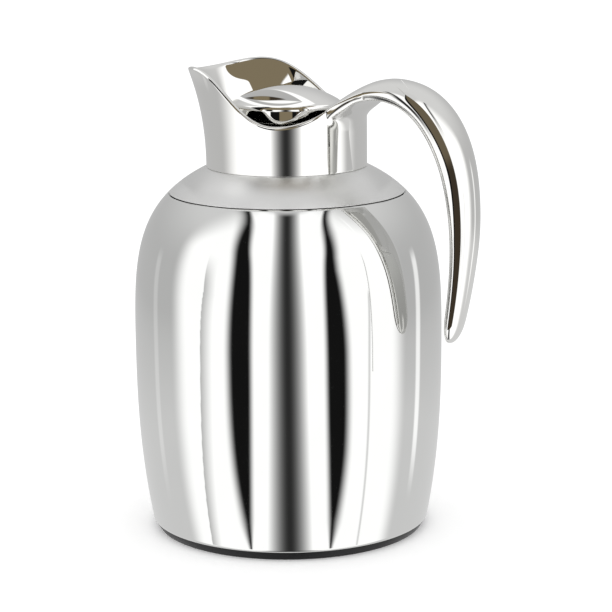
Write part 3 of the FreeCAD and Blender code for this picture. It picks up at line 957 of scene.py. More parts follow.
    def flat_side(self) -> Points:
        """Inner side of the moulding where the strip closes it: a flat chord."""
        return self.both_sides(np.array(self.flat_half), 0.0)

    def round_side(self, drop: float = 0.0) -> Points:
        """Inner side with round edges and a flat middle, hanging lower by a half ellipse near the root.

        Args:
            drop: How much lower the middle hangs.

        Returns:
            Nine points for ring.
        """
        depth = self.cover_depth
        flat = ((1.0, self.round_inset, -depth), (self.round_middle, 0.0, -depth))
        whole = self.both_sides(np.array(self.round_edge + flat), depth)
        reach = np.clip(np.abs(whole[:, 0]) - np.abs(whole[:, 1]) / self.section_widths[0], 0, 1)
        whole[:, 2] -= drop * np.sqrt(1 - reach ** 2)
        return whole

    def wall_point(self, angle: Points, height: Numbers, inset: Numbers, flare: float = 1.0) -> Points:
        """Point of the neck at an angle from the handle: round behind, drawn out to the lip before the axis.

        Args:
            angle: Angles about the axis from +X.
            height: Heights.
            inset: Distances inside the outer face.
            flare: 0 for pieces that stay round.

        Returns:
            Points.
        """
        rise = np.clip((height - self.lines.neck_foot) / self.lines.lip_rise, 0, None)
        reach = flare * self.lines.lip_reach * rise ** self.lines.lip_flare_power
        radius = self.lines.neck_radius - inset
        along = np.where(np.cos(angle) < 0, radius + reach, radius)
        return np.stack([along * np.cos(angle), radius * np.sin(angle), height + 0 * angle], -1)

    def wall_between(self, angle: Points, start: Numbers, end: Numbers, inset: float) -> list[Points]:
        """Rows of the neck's wall at even heights from one line to another."""
        shares = [k / self.wall_rows for k in range(self.wall_rows + 1)]
        return [self.wall_point(angle, start + (end - start) * share, inset) for share in shares]

    def rim_height(self, angle: Points, rounds: int = 25) -> Points:
        """Height at which the rim line crosses the neck's wall, found by repeated substitution.

        Args:
            angle: Angles about the axis.
            rounds: How often it is put in again.

        Returns:
            Heights.
        """
        height = np.full_like(angle, self.lines.neck_foot + self.lines.low_rise)
        for _ in range(rounds):
            height = self.line_height(self.wall_point(angle, height, 0.0)[:, 0])
        return height

    def top_height(self, spots: Points) -> Points:
        """Height of the handle's crown near its root.

        Args:
            spots: Points whose places along X and Y count.

        Returns:
            Heights.
        """
        x, y = spots[:, 0], spots[:, 1]
        first = self.root_line
        width, crown = self.section(np.interp(x, first[:, 0], np.linspace(0, 1, len(first))))
        round_share = np.sqrt(np.clip(1 - (y / width) ** 2, 0, 1))
        return self.line_height(x) + self.land + (crown - self.land) * round_share

    def plate_rows(self, angle: Points) -> list[Points]:
        """Rows from the corner of the plate over the collar, down its bore and round the spigot.

        Args:
            angle: Angles about the axis.

        Returns:
            The rows, all of them circles.
        """
        neck, foot = self.lines.neck_radius, self.lines.neck_foot
        floor = foot + self.plate
        bore, spigot = self.collar_radius, self.lines.spigot_radius
        collar = bore + self.collar_wall
        top = foot + self.collar_rise
        bottom = foot - self.spigot_drop
        outline = (
            (neck - self.wall - self.fillet, floor),
            (collar + self.plate_run, floor),
            (collar + self.fillet, floor),
            (collar, floor + self.fillet),
            (collar, floor + self.collar_run),
            (collar, top - self.fillet),
            (collar - self.edge_round, top),
            (bore + self.edge_round, top),
            (bore, top - self.fillet),
            (bore, foot),
            (bore, bottom + self.fillet),
            (bore + self.edge_round, bottom),
            (spigot - self.edge_round, bottom),
            (spigot, bottom + self.fillet),
            (spigot, foot - self.fillet),
            (spigot + self.fillet, foot),
        )
        return [self.wall_point(angle, height, neck - radius, 0.0) for radius, height in outline]

    def neck_rows(self) -> tuple[Points, Points, int]:
        """Rows of the neck's cage: up its outer wall, over the rim, down inside and under the plate.

        Returns:
            The grid (rows, columns, 3), the lower lip of the handle's slit, and the row of the slit.
        """
        foot, side = self.lines.neck_foot, self.side_angle
        angle = np.r_[
            np.arcsin(np.cos(np.radians(self.crown_angles)) * math.sin(side)),
            np.linspace(side, 2 * math.pi - side, self.other_columns + 1)[1:-1],
        ]
        turn = np.abs((angle + math.pi) % (2 * math.pi) - math.pi)
        inner = np.zeros(len(angle), bool)
        inner[1 : self.handle_columns] = True
        ends = ~inner & (turn < side + TINY_ANGLE)
        wall = self.wall_point(angle, foot, 0.0)
        rim = self.rim_height(angle)
        round_share = np.sqrt(np.clip(1 - (wall[:, 1] / self.section_widths[0]) ** 2, 0, 1))
        flare = np.where(inner, self.least_flare + (self.root_flare - self.least_flare) * round_share, 0.0)
        under = self.line_height(wall[:, 0]) - np.where(inner, self.cover_depth, 0.0)

        rows = [self.wall_point(angle, foot + rise, inset) for inset, rise in self.foot_rows]
        lip_drop, middle_drop, wall_drop = self.rim_drops
        wall_top = np.where(inner, under - flare, rim - wall_drop)
        rows += self.wall_between(angle, foot + self.wall_rise, wall_top, 0.0)
        fillet, lower_lip = (
            self.wall_point(angle, np.where(inner, under - down * flare, rim - drop), -out * flare)
            for (down, out), drop in zip(self.flare_rows, (middle_drop, lip_drop))
        )
        rows.append(fillet)
        slit = len(rows)
        outward = np.where(inner, -self.slit_reach, np.where(ends, self.rim_end_inset, self.rim_inset))
        crown = self.top_height(self.wall_point(angle, rim, outward))
        upper = np.where(inner, crown, np.where(ends, rim, rim - lip_drop))
        rows.append(self.wall_point(angle, upper, outward))

        top = np.where(inner, self.top_height(wall), rim)
        roll = 1 - smooth_step(turn, self.roll_start_share * side, side + math.radians(self.roll_end_deg))
        for share, drop, rolled in zip(self.rim_shares, (0.0, *self.rim_drops), self.roll_drops):
            shift = self.roll_outward * roll * (share < 1)
            rows.append(self.wall_point(angle, top - drop - roll * rolled, share * self.wall - shift))
        floor = foot + self.plate
        inside_top = top - self.inside_drop - roll * self.inside_roll_drop
        rows += self.wall_between(angle, inside_top, floor + self.corner_rise, self.wall)
        rise, inset = self.corner_row
        rows.append(self.wall_point(angle, floor + rise, self.wall + inset))
        return np.array(rows + self.plate_rows(angle)), lower_lip, slit

    def handle_rings(self) -> list[Points]:
        """Sections of the moulding from near its root to the round tip.

        Returns:
            Rings of twenty points.
        """
        rings = []
        before_cover = (self.cover_place - 3 * self.step_share, self.cover_place - self.step_share)
        for place in self.root_places + before_cover:
            reach = self.handle_frame(place)[0][0] - self.lines.neck_radius
            inward = np.clip(self.root_flare - reach, 0, self.root_flare)
            drop = self.root_flare - math.sqrt(self.root_flare ** 2 - inward ** 2)
            rings.append(self.ring(place, self.round_side(drop)))
        rings += [self.ring(place, self.flat_side()) for place in [self.cover_place, *self.grip_places]]
        rings += [self.ring(place, self.flat_side(), share) for place, share in self.round_tip]
        return rings

    def build_moulding(self) -> Piece:
        """Joins the neck's grid and the handle's rings into one cage: the first ring is sewn into the slit.

        Returns:
            The moulding.
        """
        grid, lower_lip, slit = self.neck_rows()
        rows, columns = grid.shape[:2]
        body = quads(rows, columns, True, True)
        count = self.handle_columns
        row, column = body // columns, body % columns
        below = (row.min(1) == slit - 1) & (row.max(1) == slit)
        lip = rows * columns + np.arange(count - 1)
        moved = below[:, None] & (row == slit) & (column > 0) & (column < count)
        body[moved] = lip[column[moved] - 1]
        rings = self.handle_rings()
        start = np.r_[slit * columns + np.arange(count + 1), lip[::-1]]
        others = rows * columns + count - 1 + np.arange(len(rings) * len(start)).reshape(len(rings), -1)
        loops = np.vstack([start, others])
        faces = body.tolist() + sew(loops) + self.cap(loops[-1])
        vertices = np.vstack([grid.reshape(-1, 3), lower_lip[1:count], *rings])
        return self.subdivide(add_mesh("neck_spout_handle_skin", vertices, faces))

    def cap(self, loop: Points) -> list[list[int]]:
        """Faces that close a ring: strips between its upper and its inner side.

        Args:
            loop: Corner numbers of the ring.

        Returns:
            The faces.
        """
        size = len(loop)
        half = size // 2
        strips = [[loop[k], loop[k + 1], loop[size - k - 1], loop[size - k]] for k in range(1, half - 1)]
        ends = [[loop[0], loop[1], loop[size - 1]], [loop[half - 1], loop[half], loop[half + 1]]]
        return strips + ends

    def build_strip(self) -> Piece:
        """The strip that closes the handle's inner side, along the same line, with round edges.

        Returns:
            The strip.
        """
        places = [(place, 1.0) for place in [self.cover_place + self.step_share, *self.grip_places]]
        under = self.round_side()
        rings = [self.ring(place, under, share, False) for place, share in places + self.round_tip]
        loops = np.arange(len(rings) * len(rings[0])).reshape(len(rings), -1)
        faces = self.cap(loops[0]) + self.cap(loops[-1]) + sew(loops)
        return self.subdivide(add_mesh("handle_strip_skin", np.vstack(rings), faces))

    def subdivide(self, piece: Piece) -> Piece:
        """Adds the subdivision that turns a cage into a smooth surface.

        Args:
            piece: The cage.

        Returns:
            The same piece.
        """
        modifier = piece.modifiers.new("smooth", "SUBSURF")
        modifier.levels = self.levels
        modifier.render_levels = self.levels
        return piece

    def dress(self, palette: Palette) -> list[Piece]:
        """Builds moulding and strip, gives them their finish and puts them in the CAD nodes' places.

        Args:
            palette: The materials.

        Returns:
            The pieces.
        """
        return [
            palette.stand_in(self.build_moulding(), "neck_spout_handle", "jug", Slot.CHROME),
            palette.stand_in(self.build_strip(), "handle_inner_cover", "jug", Slot.CHROME),
        ]


@dataclass
class Button:
    """Domed push button with its skirt, and the return spring under it."""

    lines: JugLines
    radius: float = 25.7
    wall: float = 2.0
    rise: float = 37.3
    crown_radius: float = 46.3
    edge_radius: float = 3.0
    skirt: float = 7.9
    skirt_round: float = 0.4
    skirt_edge: float = 0.1
    travel: float = 4.0
    steps: int = 192
    dome_points: int = 60
    edge_points: int = 24
    skirt_points: int = 12
    inside_points: int = 40
    spring_radius: float = 5.55
    spring_wire: float = 1.1
    spring_bottom: float = 184.2
    spring_turns: int = 5
    turn_points: int = 40
    wire_sides: int = 14

    @property
    def crown_centre(self) -> float:
        """Height of the middle of the dome's sphere."""
        return self.lines.neck_foot + self.rise - self.crown_radius

    @property
    def edge_height(self) -> float:
        """Height of the middle of the rounded edge."""
        reach = math.sqrt((self.crown_radius - self.edge_radius) ** 2 - (self.radius - self.edge_radius) ** 2)
        return self.crown_centre + reach

    @property
    def spring_top(self) -> float:
        """Height of the boss that the spring pushes on."""
        return self.edge_height - self.edge_radius / 2

    def arc(self, centre: Pair, radius: float, start: float, end: float, count: int) -> Points:
        """Side-view points of an arc: centre + radius (cos a, sin a) at even angles a."""
        angle = np.linspace(start, end, count)
        return np.stack([centre[0] + radius * np.cos(angle), centre[1] + radius * np.sin(angle)], 1)

    def build_cap(self) -> Piece:
        """Dome arc, edge arc and skirt outside; the same inside, one wall thinner.

        Returns:
            The button.
        """
        middle = (0.0, self.crown_centre)
        edge = (self.radius - self.edge_radius, self.edge_height)
        up = math.pi / 2
        edge_angle = math.atan2(edge[1] - middle[1], edge[0])
        bottom = edge[1] - self.skirt
        bore = self.radius - self.wall
        under = self.crown_radius - self.wall
        skirt = np.linspace(edge[1], bottom + self.skirt_round, self.skirt_points)[1:]
        outline = np.vstack([
            self.arc(middle, self.crown_radius, up, edge_angle, self.dome_points),
            self.arc(edge, self.edge_radius, edge_angle, 0.0, self.edge_points)[1:],
            np.stack([np.full_like(skirt, self.radius), skirt], 1),
            (self.radius - self.skirt_edge, bottom + self.skirt_edge),
            (self.radius - self.skirt_round, bottom),
            (bore + self.skirt_round, bottom),
            (bore, bottom + self.skirt_round),
            self.arc(middle, under, math.acos(bore / under), up, self.inside_points),
        ])
        outline[[0, -1], 0] = 0.0
        return spin("button_skin", outline, self.steps, False)

    def build_spring(self) -> Piece:
        """Round wire along a helix: a circle square to the path, swept at even angles.

        Returns:
            The spring.
        """
        sides = self.wire_sides
        turns = np.linspace(0, self.spring_turns, self.turn_points * self.spring_turns + 1)
        angle = 2 * np.pi * turns
        wire = self.spring_wire / 2
        pitch = (self.spring_top - self.spring_bottom - self.spring_wire) / self.spring_turns
        out = np.stack([np.cos(angle), np.sin(angle), 0 * angle], 1)
        centre = self.spring_radius * out
        centre[:, 2] = self.spring_bottom + wire + pitch * turns
        climb = np.full_like(angle, pitch / (2 * np.pi * self.spring_radius))
        side = np.cross(unit(np.stack([-np.sin(angle), np.cos(angle), climb], 1)), out)
        around = (2 * np.pi * np.arange(sides) / sides)[None, :, None]
        grid = centre[:, None] + wire * (np.cos(around) * out[:, None] + np.sin(around) * side[:, None])
        faces = quads(len(turns), sides, False, True).tolist()
        faces += [list(range(sides)), [len(turns) * sides - 1 - k for k in range(sides)]]
        return add_mesh("return_spring_wire", grid.reshape(-1, 3), faces)

    def dress(self, palette: Palette) -> list[Piece]:
        """Builds button and spring; the button rides on its own body and the spring on the stopper.

        Args:
            palette: The materials.

        Returns:
            The pieces.
        """
        cap = palette.stand_in(self.build_cap(), "push_button", "button", Slot.CHROME)
        spring = palette.stand_in(self.build_spring(), "return_spring", "stopper", Slot.SPRING)
        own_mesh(spring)
        return [cap, spring]


# Inner radius in millimetres and body of each soft node
SOFT_NODES = {
    "liner_cushion": (0.0, "jug"),
    "mouth_gasket": (22.0, "jug"),
    "stopper_gasket": (20.5, "stopper_seal"),
    "valve_seal": (7.0, "button"),
}


@dataclass
class Seals:
    """Soft rings and the cushion under the flask, each with round edges inside its CAD node's box."""

    edge: float = 0.5
    steps: int = 96

    def dress(self, palette: Palette) -> list[Piece]:
        """Builds each soft piece from the box of its CAD node.

        Args:
            palette: The materials.

        Returns:
            The pieces.
        """
        pieces = []
        for node, (inner, body) in SOFT_NODES.items():
            low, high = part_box(node)
            outer = high[0] / MM
            bottom, top = low[2] / MM, high[2] / MM
            outline = rounded([(inner, bottom), (outer, bottom), (outer, top), (inner, top)], self.edge)
            piece = spin(node + "_soft", np.maximum(outline, 0.0), self.steps)
            pieces.append(palette.stand_in(piece, node, body, Slot.SILICONE))
        return pieces


KEPT_NODES = {
    "base_thread_ring": Slot.BLACK,
    "neck_lock_nut": Slot.BLACK,
    "liner_outer_wall": Slot.GLASS,
    "liner_inner_wall": Slot.GLASS,
    "liner_spacers": Slot.FIBRE,
    "stopper_body": Slot.STOPPER,
    "stopper_cup": Slot.STOPPER,
    "valve_disc": Slot.STOPPER,
    "valve_nut": Slot.STOPPER,
    "valve_stem": Slot.SPRING,
}


@dataclass
class KeptPieces:
    """Pieces that keep the shape of their CAD nodes."""

    nodes: dict[str, Piece]

    def dress(self, palette: Palette) -> list[Piece]:
        """Gives each node its finish."""
        return [palette.dress(self.nodes[node], slot) for node, slot in KEPT_NODES.items()]


# Studio


@dataclass(frozen=True)
class Viewpoint:
    """The camera of the photograph, placed from the jug's axis, in metres and radians."""

    distance: float = 1.05
    height: float = 0.3256
    handle_turn: float = math.radians(56.0)
    pitch: float = 0.2077
    yaw: float = 0.0079
    roll: float = -0.0096
    pixels: float = 612.0
    focal_pixels: float = 2280.8
    sensor_mm: float = 36.0

    @property
    def azimuth(self) -> float:
        """Direction from the axis to the camera, as an angle about +Z from +X."""
        return -self.handle_turn

    @property
    def position(self) -> Points:
        """Place of the camera in metres."""
        x = self.distance * math.cos(self.azimuth)
        y = self.distance * math.sin(self.azimuth)
        return np.array([x, y, self.height])

    @property
    def turned(self) -> Matrix:
        """Rotation of the camera."""
        turn = Matrix.Rotation(self.azimuth + math.pi / 2, 3, "Z")
        aim = Matrix.Rotation(-self.yaw, 3, "Z") @ Matrix.Rotation(math.pi / 2 - self.pitch, 3, "X")
        return turn @ aim @ Matrix.Rotation(self.roll, 3, "Z")

    def rays(self, x: Points, y: Points) -> Points:
        """Directions from the camera through places in the picture.

        Args:
            x: Pixels to the right.
            y: Pixels down.

        Returns:
            Directions one long, as a last axis of three.
        """
        half = self.pixels / 2
        straight = np.stack([x - half, half - y, np.full_like(x, -self.focal_pixels)], -1)
        return unit(straight) @ np.array(self.turned).T

    def build(self) -> None:
        """Makes the camera and gives it to the scene."""
        data = bpy.data.cameras.new("camera")
        data.sensor_width = self.sensor_mm
        data.lens = data.sensor_width * self.focal_pixels / self.pixels
        camera = add_object("camera", data)
        camera.matrix_world = Matrix.Translation(self.position) @ self.turned.to_4x4()
        bpy.context.scene.camera = camera


def cloth(name: str, one_sided: bool) -> bpy.types.Material:
    """Material of a sheet of the studio, which shines in the colour that its points carry.

    Args:
        name: Name of the material.
        one_sided: True for a card that shows only from behind its faces, as far as its points cover it.

    Returns:
        The material.
    """
    material = bpy.data.materials.new(name)
    material.use_nodes = True
    material.node_tree.nodes.clear()
    nodes = Nodes(material.node_tree)
    tint = nodes.node("Attribute", attribute_name=TINT)
    shown = nodes.node("Emission", {"Color": tint["Color"]})[0]
    if one_sided:
        behind = nodes.node("NewGeometry")["Backfacing"]
        cover = nodes.node("Math", {0: tint["Alpha"], 1: behind}, operation="MULTIPLY")[0]
        clear = nodes.node("BsdfTransparent")[0]
        shown = nodes.node("MixShader", {0: cover, 1: clear, 2: shown})[0]
    nodes.node("OutputMaterial", {"Surface": shown})
    material.cycles.emission_sampling = "NONE"
    return material


def hang(name: str, grid: Points, colour: Points, cover: Numbers, material: bpy.types.Material) -> None:
    """Puts up a sheet of cloth that only mirrors see.

    Args:
        name: Name of the sheet.
        grid: Its points as (rows, columns, 3), in metres.
        colour: Brightness of each point, or its colour as a last axis of three.
        cover: How much of what is behind each point is hidden, from 0 to 1.
        material: Its material.
    """
    mesh = bpy.data.meshes.new(name)
    mesh.from_pydata(grid.reshape(-1, 3).tolist(), [], quads(*grid.shape[:2], False, False).tolist())
    tint = np.ones((*grid.shape[:2], 4), np.float32)
    tint[..., :3] = colour if np.ndim(colour) == 3 else colour[..., None]
    tint[..., 3] = cover
    mesh.attributes.new(TINT, "FLOAT_COLOR", "POINT").data.foreach_set("color", tint.ravel())
    mesh.materials.append(material)
    sheet = add_object(name, mesh)
    sheet.visible_camera = False
    sheet.visible_diffuse = False
    sheet.visible_shadow = False


@dataclass
class LightTent:
    """Round tent of light and dark cloth that the metal mirrors, with a pale floor and white surroundings.

    Azimuths are degrees to the right of the camera's direction, and elevations degrees above the horizon.
    """

    viewpoint: Viewpoint
    radius: float = 12.0
    middle_height: float = 0.12
    rows: int = 360
    columns: int = 721
    last_row_deg: float = 89.5
    # White panels, grey sides and ceiling
    white: float = 1.28
    grey: float = 0.545
    side_rise: float = 0.2
    side_rise_degs: Pair = (5.0, 50.0)
    low_rise: float = 0.16
    low_rise_degs: Pair = (8.0, 18.0)
    panel_deg: float = 81.0
    panel_lean_deg: float = 33.0
    panel_lean_degs: Pair = (20.0, 60.0)
    side_deg: float = 98.0
    ceiling: float = 0.71
    ceiling_degs: Pair = (72.0, 80.0)
    # Dark slit that the camera looks through
    centre_deg: float = -0.75
    slit_dark: float = 0.03
    slit_half_deg: float = 13.0
    slit_taper: float = 0.07
    slit_power: float = 2.2
    # Dark flags on both sides of it, with the degrees and the power of their narrowing up and down
    black: float = 0.008
    flag_centre_deg: float = -0.15
    flag_inner_deg: float = 26.9
    flag_lean_deg: float = 7.0
    flag_lean_degs: Pair = (26.0, 74.0)
    flag_width_deg: float = 17.4
    flag_widest_deg: float = -12.0
    flag_up: Pair = (92.0, 1.5)
    flag_down: Pair = (28.0, 1.6)
    flag_right_taper: float = 0.11
    taper_degs: Pair = (-22.0, 36.0)
    taper_least: float = 0.7
    soft_width_deg: float = 6.0
    softest: Pair = (0.1, 1.0)
    inner_softs: Pair = (2.6, 2.4)
    outer_soft: float = 3.8
    least_width_deg: float = 0.2
    # Fold at the left panel's end, crease at the right one, and bright strips behind
    fold_deg: float = -65.5
    fold_lean: float = 0.25
    fold_run_deg: float = 10.0
    fold_depth: float = 0.55
    fold_degs: Pair = (2.0, 24.0)
    crease_deg: float = 61.5
    crease_half_deg: float = 1.4
    crease_core: float = 0.3
    crease_depth: float = 0.35
    crease_top_deg: float = 2.0
    strip_degs: Pair = (112.0, -116.5)
    strip_lifts: Pair = (0.5, 0.12)
    strip_half_deg: float = 4.0
    strip_core: float = 0.4
    strip_level_deg: float = -8.0
    strip_reach_degs: Pair = (10.0, 18.0)
    # Plain cloth, which a near card shows: turned a little, with a wide slit and softer ends
    plain_turn_deg: float = 7.0
    plain_panel_deg: float = 5.0
    plain_side_deg: float = 14.0
    plain_slit_half_deg: float = 22.0
    # Floor
    floor_size: float = 8.0
    floor_glow: float = 0.2
    floor_colour: tuple[float, ...] = (0.97, 0.97, 0.97, 1.0)
    floor_roughness: float = 0.9

    def lateral(self, azimuth: Points, elevation: Points, centre: float) -> Points:
        """Degrees to the right of an upright plane: the arc sine of the direction's part square to it."""
        turned = np.radians(azimuth - centre)
        return np.degrees(np.arcsin(np.clip(np.cos(np.radians(elevation)) * np.sin(turned), -1, 1)))

    def flag(self, azimuth: Points, elevation: Points) -> Points:
        """Cover of the two dark flags: bands beside the camera that are widest a little below the horizon.

        Args:
            azimuth: Azimuths.
            elevation: Elevations.

        Returns:
            Shares from 0 to 1.
        """
        signed = self.lateral(azimuth, elevation, self.flag_centre_deg)
        lateral = np.abs(signed)
        inner = self.flag_inner_deg - self.flag_lean_deg * smooth_step(elevation, *self.flag_lean_degs)
        (up, up_power), (down, down_power) = self.flag_up, self.flag_down
        above = np.clip((elevation - self.flag_widest_deg) / up, 0, 1) ** up_power
        below = np.clip((self.flag_widest_deg - elevation) / down, 0, 1) ** down_power
        width = self.flag_width_deg * (1 - above - below)
        start, run = self.taper_degs
        taper = self.flag_right_taper * np.clip(elevation - start, 0, run) * (signed > 0)
        width = np.maximum(width - taper, self.taper_least * width)
        soft = np.clip(width / self.soft_width_deg, *self.softest)
        before, after = self.inner_softs
        cover = smooth_step(lateral, inner - before * soft, inner + after * soft)
        outer, fade = inner + width, self.outer_soft * soft
        return cover * (1 - smooth_step(lateral, outer - fade, outer + fade)) * (width > self.least_width_deg)

    def panels(self, azimuth: Points, elevation: Points, plain: float) -> Points:
        """Brightness of the white panels and the grey sides that they pass into.

        Args:
            azimuth: Azimuths.
            elevation: Elevations.
            plain: 1 for plain cloth.

        Returns:
            Brightness.
        """
        side = np.abs(azimuth - self.plain_turn_deg * plain)
        grey = self.grey + self.side_rise * smooth_step(elevation, *self.side_rise_degs)
        grey = grey + self.low_rise * smooth_step(-elevation, *self.low_rise_degs)
        turn = self.panel_deg - self.panel_lean_deg * smooth_step(elevation, *self.panel_lean_degs)
        turn = turn - self.plain_panel_deg * plain
        end = self.side_deg + self.plain_side_deg * plain
        return self.white + (grey - self.white) * smooth_step((side - turn) / (end - turn), 0.0, 1.0)

    def folds(self, value: Points, azimuth: Points, elevation: Points) -> Points:
        """Brightness with the strips behind, the fold on the left and the crease on the right.

        Args:
            value: Brightness without them.
            azimuth: Azimuths.
            elevation: Elevations.

        Returns:
            Brightness.
        """
        level = near(elevation, self.strip_level_deg, *self.strip_reach_degs)
        for place, lift in zip(self.strip_degs, self.strip_lifts):
            strip = near(azimuth, place, self.strip_core * self.strip_half_deg, self.strip_half_deg)
            value = value + lift * strip * level
        past_fold = azimuth - self.fold_deg - self.fold_lean * np.minimum(elevation, 0)
        fold = np.clip(1 - past_fold / self.fold_run_deg, 0, 1) * (past_fold > 0)
        value = value * (1 - self.fold_depth * fold * (1 - smooth_step(elevation, *self.fold_degs)))
        crease = near(azimuth, self.crease_deg, self.crease_core * self.crease_half_deg, self.crease_half_deg)
        low = smooth_step(-elevation, -self.crease_top_deg, self.crease_top_deg)
        return value * (1 - self.crease_depth * crease * low)

    def glow(self, azimuth: Points, elevation: Points, plain: bool) -> Points:
        """Brightness of the tent: white panels, a dark slit for the camera, two dark flags and grey sides.

        Args:
            azimuth: Azimuths.
            elevation: Elevations.
            plain: True for a cloth with a wide slit and soft sides only.

        Returns:
            Brightness, where the white panels are a little over 1.
        """
        value = self.panels(azimuth, elevation, float(plain))
        if not plain:
            value = self.folds(value, azimuth, elevation)
        lateral = np.abs(self.lateral(azimuth, elevation, self.centre_deg))
        ahead = np.cos(np.radians(azimuth - self.centre_deg)) > 0
        half = self.plain_slit_half_deg if plain else self.slit_half_deg - self.slit_taper * elevation
        share = np.clip(lateral / half, 0, 1) ** self.slit_power
        value = np.where(ahead, np.minimum(value, self.slit_dark + (value - self.slit_dark) * share), value)
        if not plain:
            value = value + (self.black - value) * self.flag(azimuth, elevation) * ahead
        return value + (self.ceiling - value) * smooth_step(elevation, *self.ceiling_degs)

    def build_tent(self) -> None:
        """A sphere of even latitudes and longitudes whose points carry the tent's brightness."""
        latitudes = np.linspace(-self.last_row_deg, self.last_row_deg, self.rows)
        elevation, azimuth = np.meshgrid(latitudes, np.linspace(-180, 180, self.columns), indexing="ij")
        turn = np.radians(azimuth) + self.viewpoint.azimuth
        flat, up = np.cos(np.radians(elevation)), np.sin(np.radians(elevation))
        grid = self.radius * np.stack([flat * np.cos(turn), flat * np.sin(turn), up], -1)
        grid[..., 2] += self.middle_height
        hang("light_tent", grid, self.glow(azimuth, elevation, False), 1.0, cloth("tent_cloth", False))

    def build_floor(self) -> None:
        """A pale floor that takes the jug's shadow; the metal mirrors the tent's lower half in its place."""
        half = self.floor_size / 2
        mesh = bpy.data.meshes.new("floor")
        corners = [(-half, -half, 0), (half, -half, 0), (half, half, 0), (-half, half, 0)]
        mesh.from_pydata(corners, [], [(0, 1, 2, 3)])
        floor = add_object("floor", mesh)
        material = bpy.data.materials.new("floor_paper")
        material.use_nodes = True
        nodes = Nodes(material.node_tree)
        rays = nodes.node("LightPath")
        seen = rays["Is Camera Ray"]
        for kind in ("Is Glossy Ray", "Is Transmission Ray"):
            seen = nodes.node("Math", {0: seen, 1: rays[kind]}, operation="MAXIMUM")[0]
        looks = {
            "Base Color": self.floor_colour,
            "Roughness": self.floor_roughness,
            "Specular IOR Level": 0.0,
            "Emission Color": WHITE,
            "Emission Strength": nodes.node("Math", {0: seen, 1: self.floor_glow}, operation="MULTIPLY")[0],
        }
        nodes.fill(material.node_tree.nodes["Principled BSDF"], looks)
        mesh.materials.append(material)
        floor.visible_glossy = False

    def build_world(self) -> None:
        """Plain white surroundings at a strength of 1."""
        world = bpy.data.worlds.new("world")
        world.use_nodes = True
        Nodes(world.node_tree).fill(world.node_tree.nodes["Background"], {"Color": WHITE, "Strength": 1.0})
        bpy.context.scene.world = world

    def build(self) -> None:
        """Sets up the whole studio."""
        self.build_tent()
        self.build_floor()
        self.build_world()
        bpy.context.scene.view_settings.view_transform = "Standard"


@dataclass(frozen=True)
class Lens:
    """A lens between two tips in the picture, whose upper and lower edges are parabolas, in pixels."""

    left: Pair
    right: Pair
    bow_up: float
    bow_down: float
    soft: float

    def cover(self, x: Points, y: Points) -> Points:
        """How far places in the picture lie inside the lens.

        Args:
            x: Pixels to the right.
            y: Pixels down.

        Returns:
            Shares from 0 to 1.
        """
        along = (x - self.left[0]) / (self.right[0] - self.left[0])
        up = self.left[1] + (self.right[1] - self.left[1]) * along - y
        bow = 4 * along * (1 - along)
        inside = np.where(up > 0, self.bow_up * bow - up, self.bow_down * bow + up)
        return smooth_step(inside, -self.soft, self.soft)


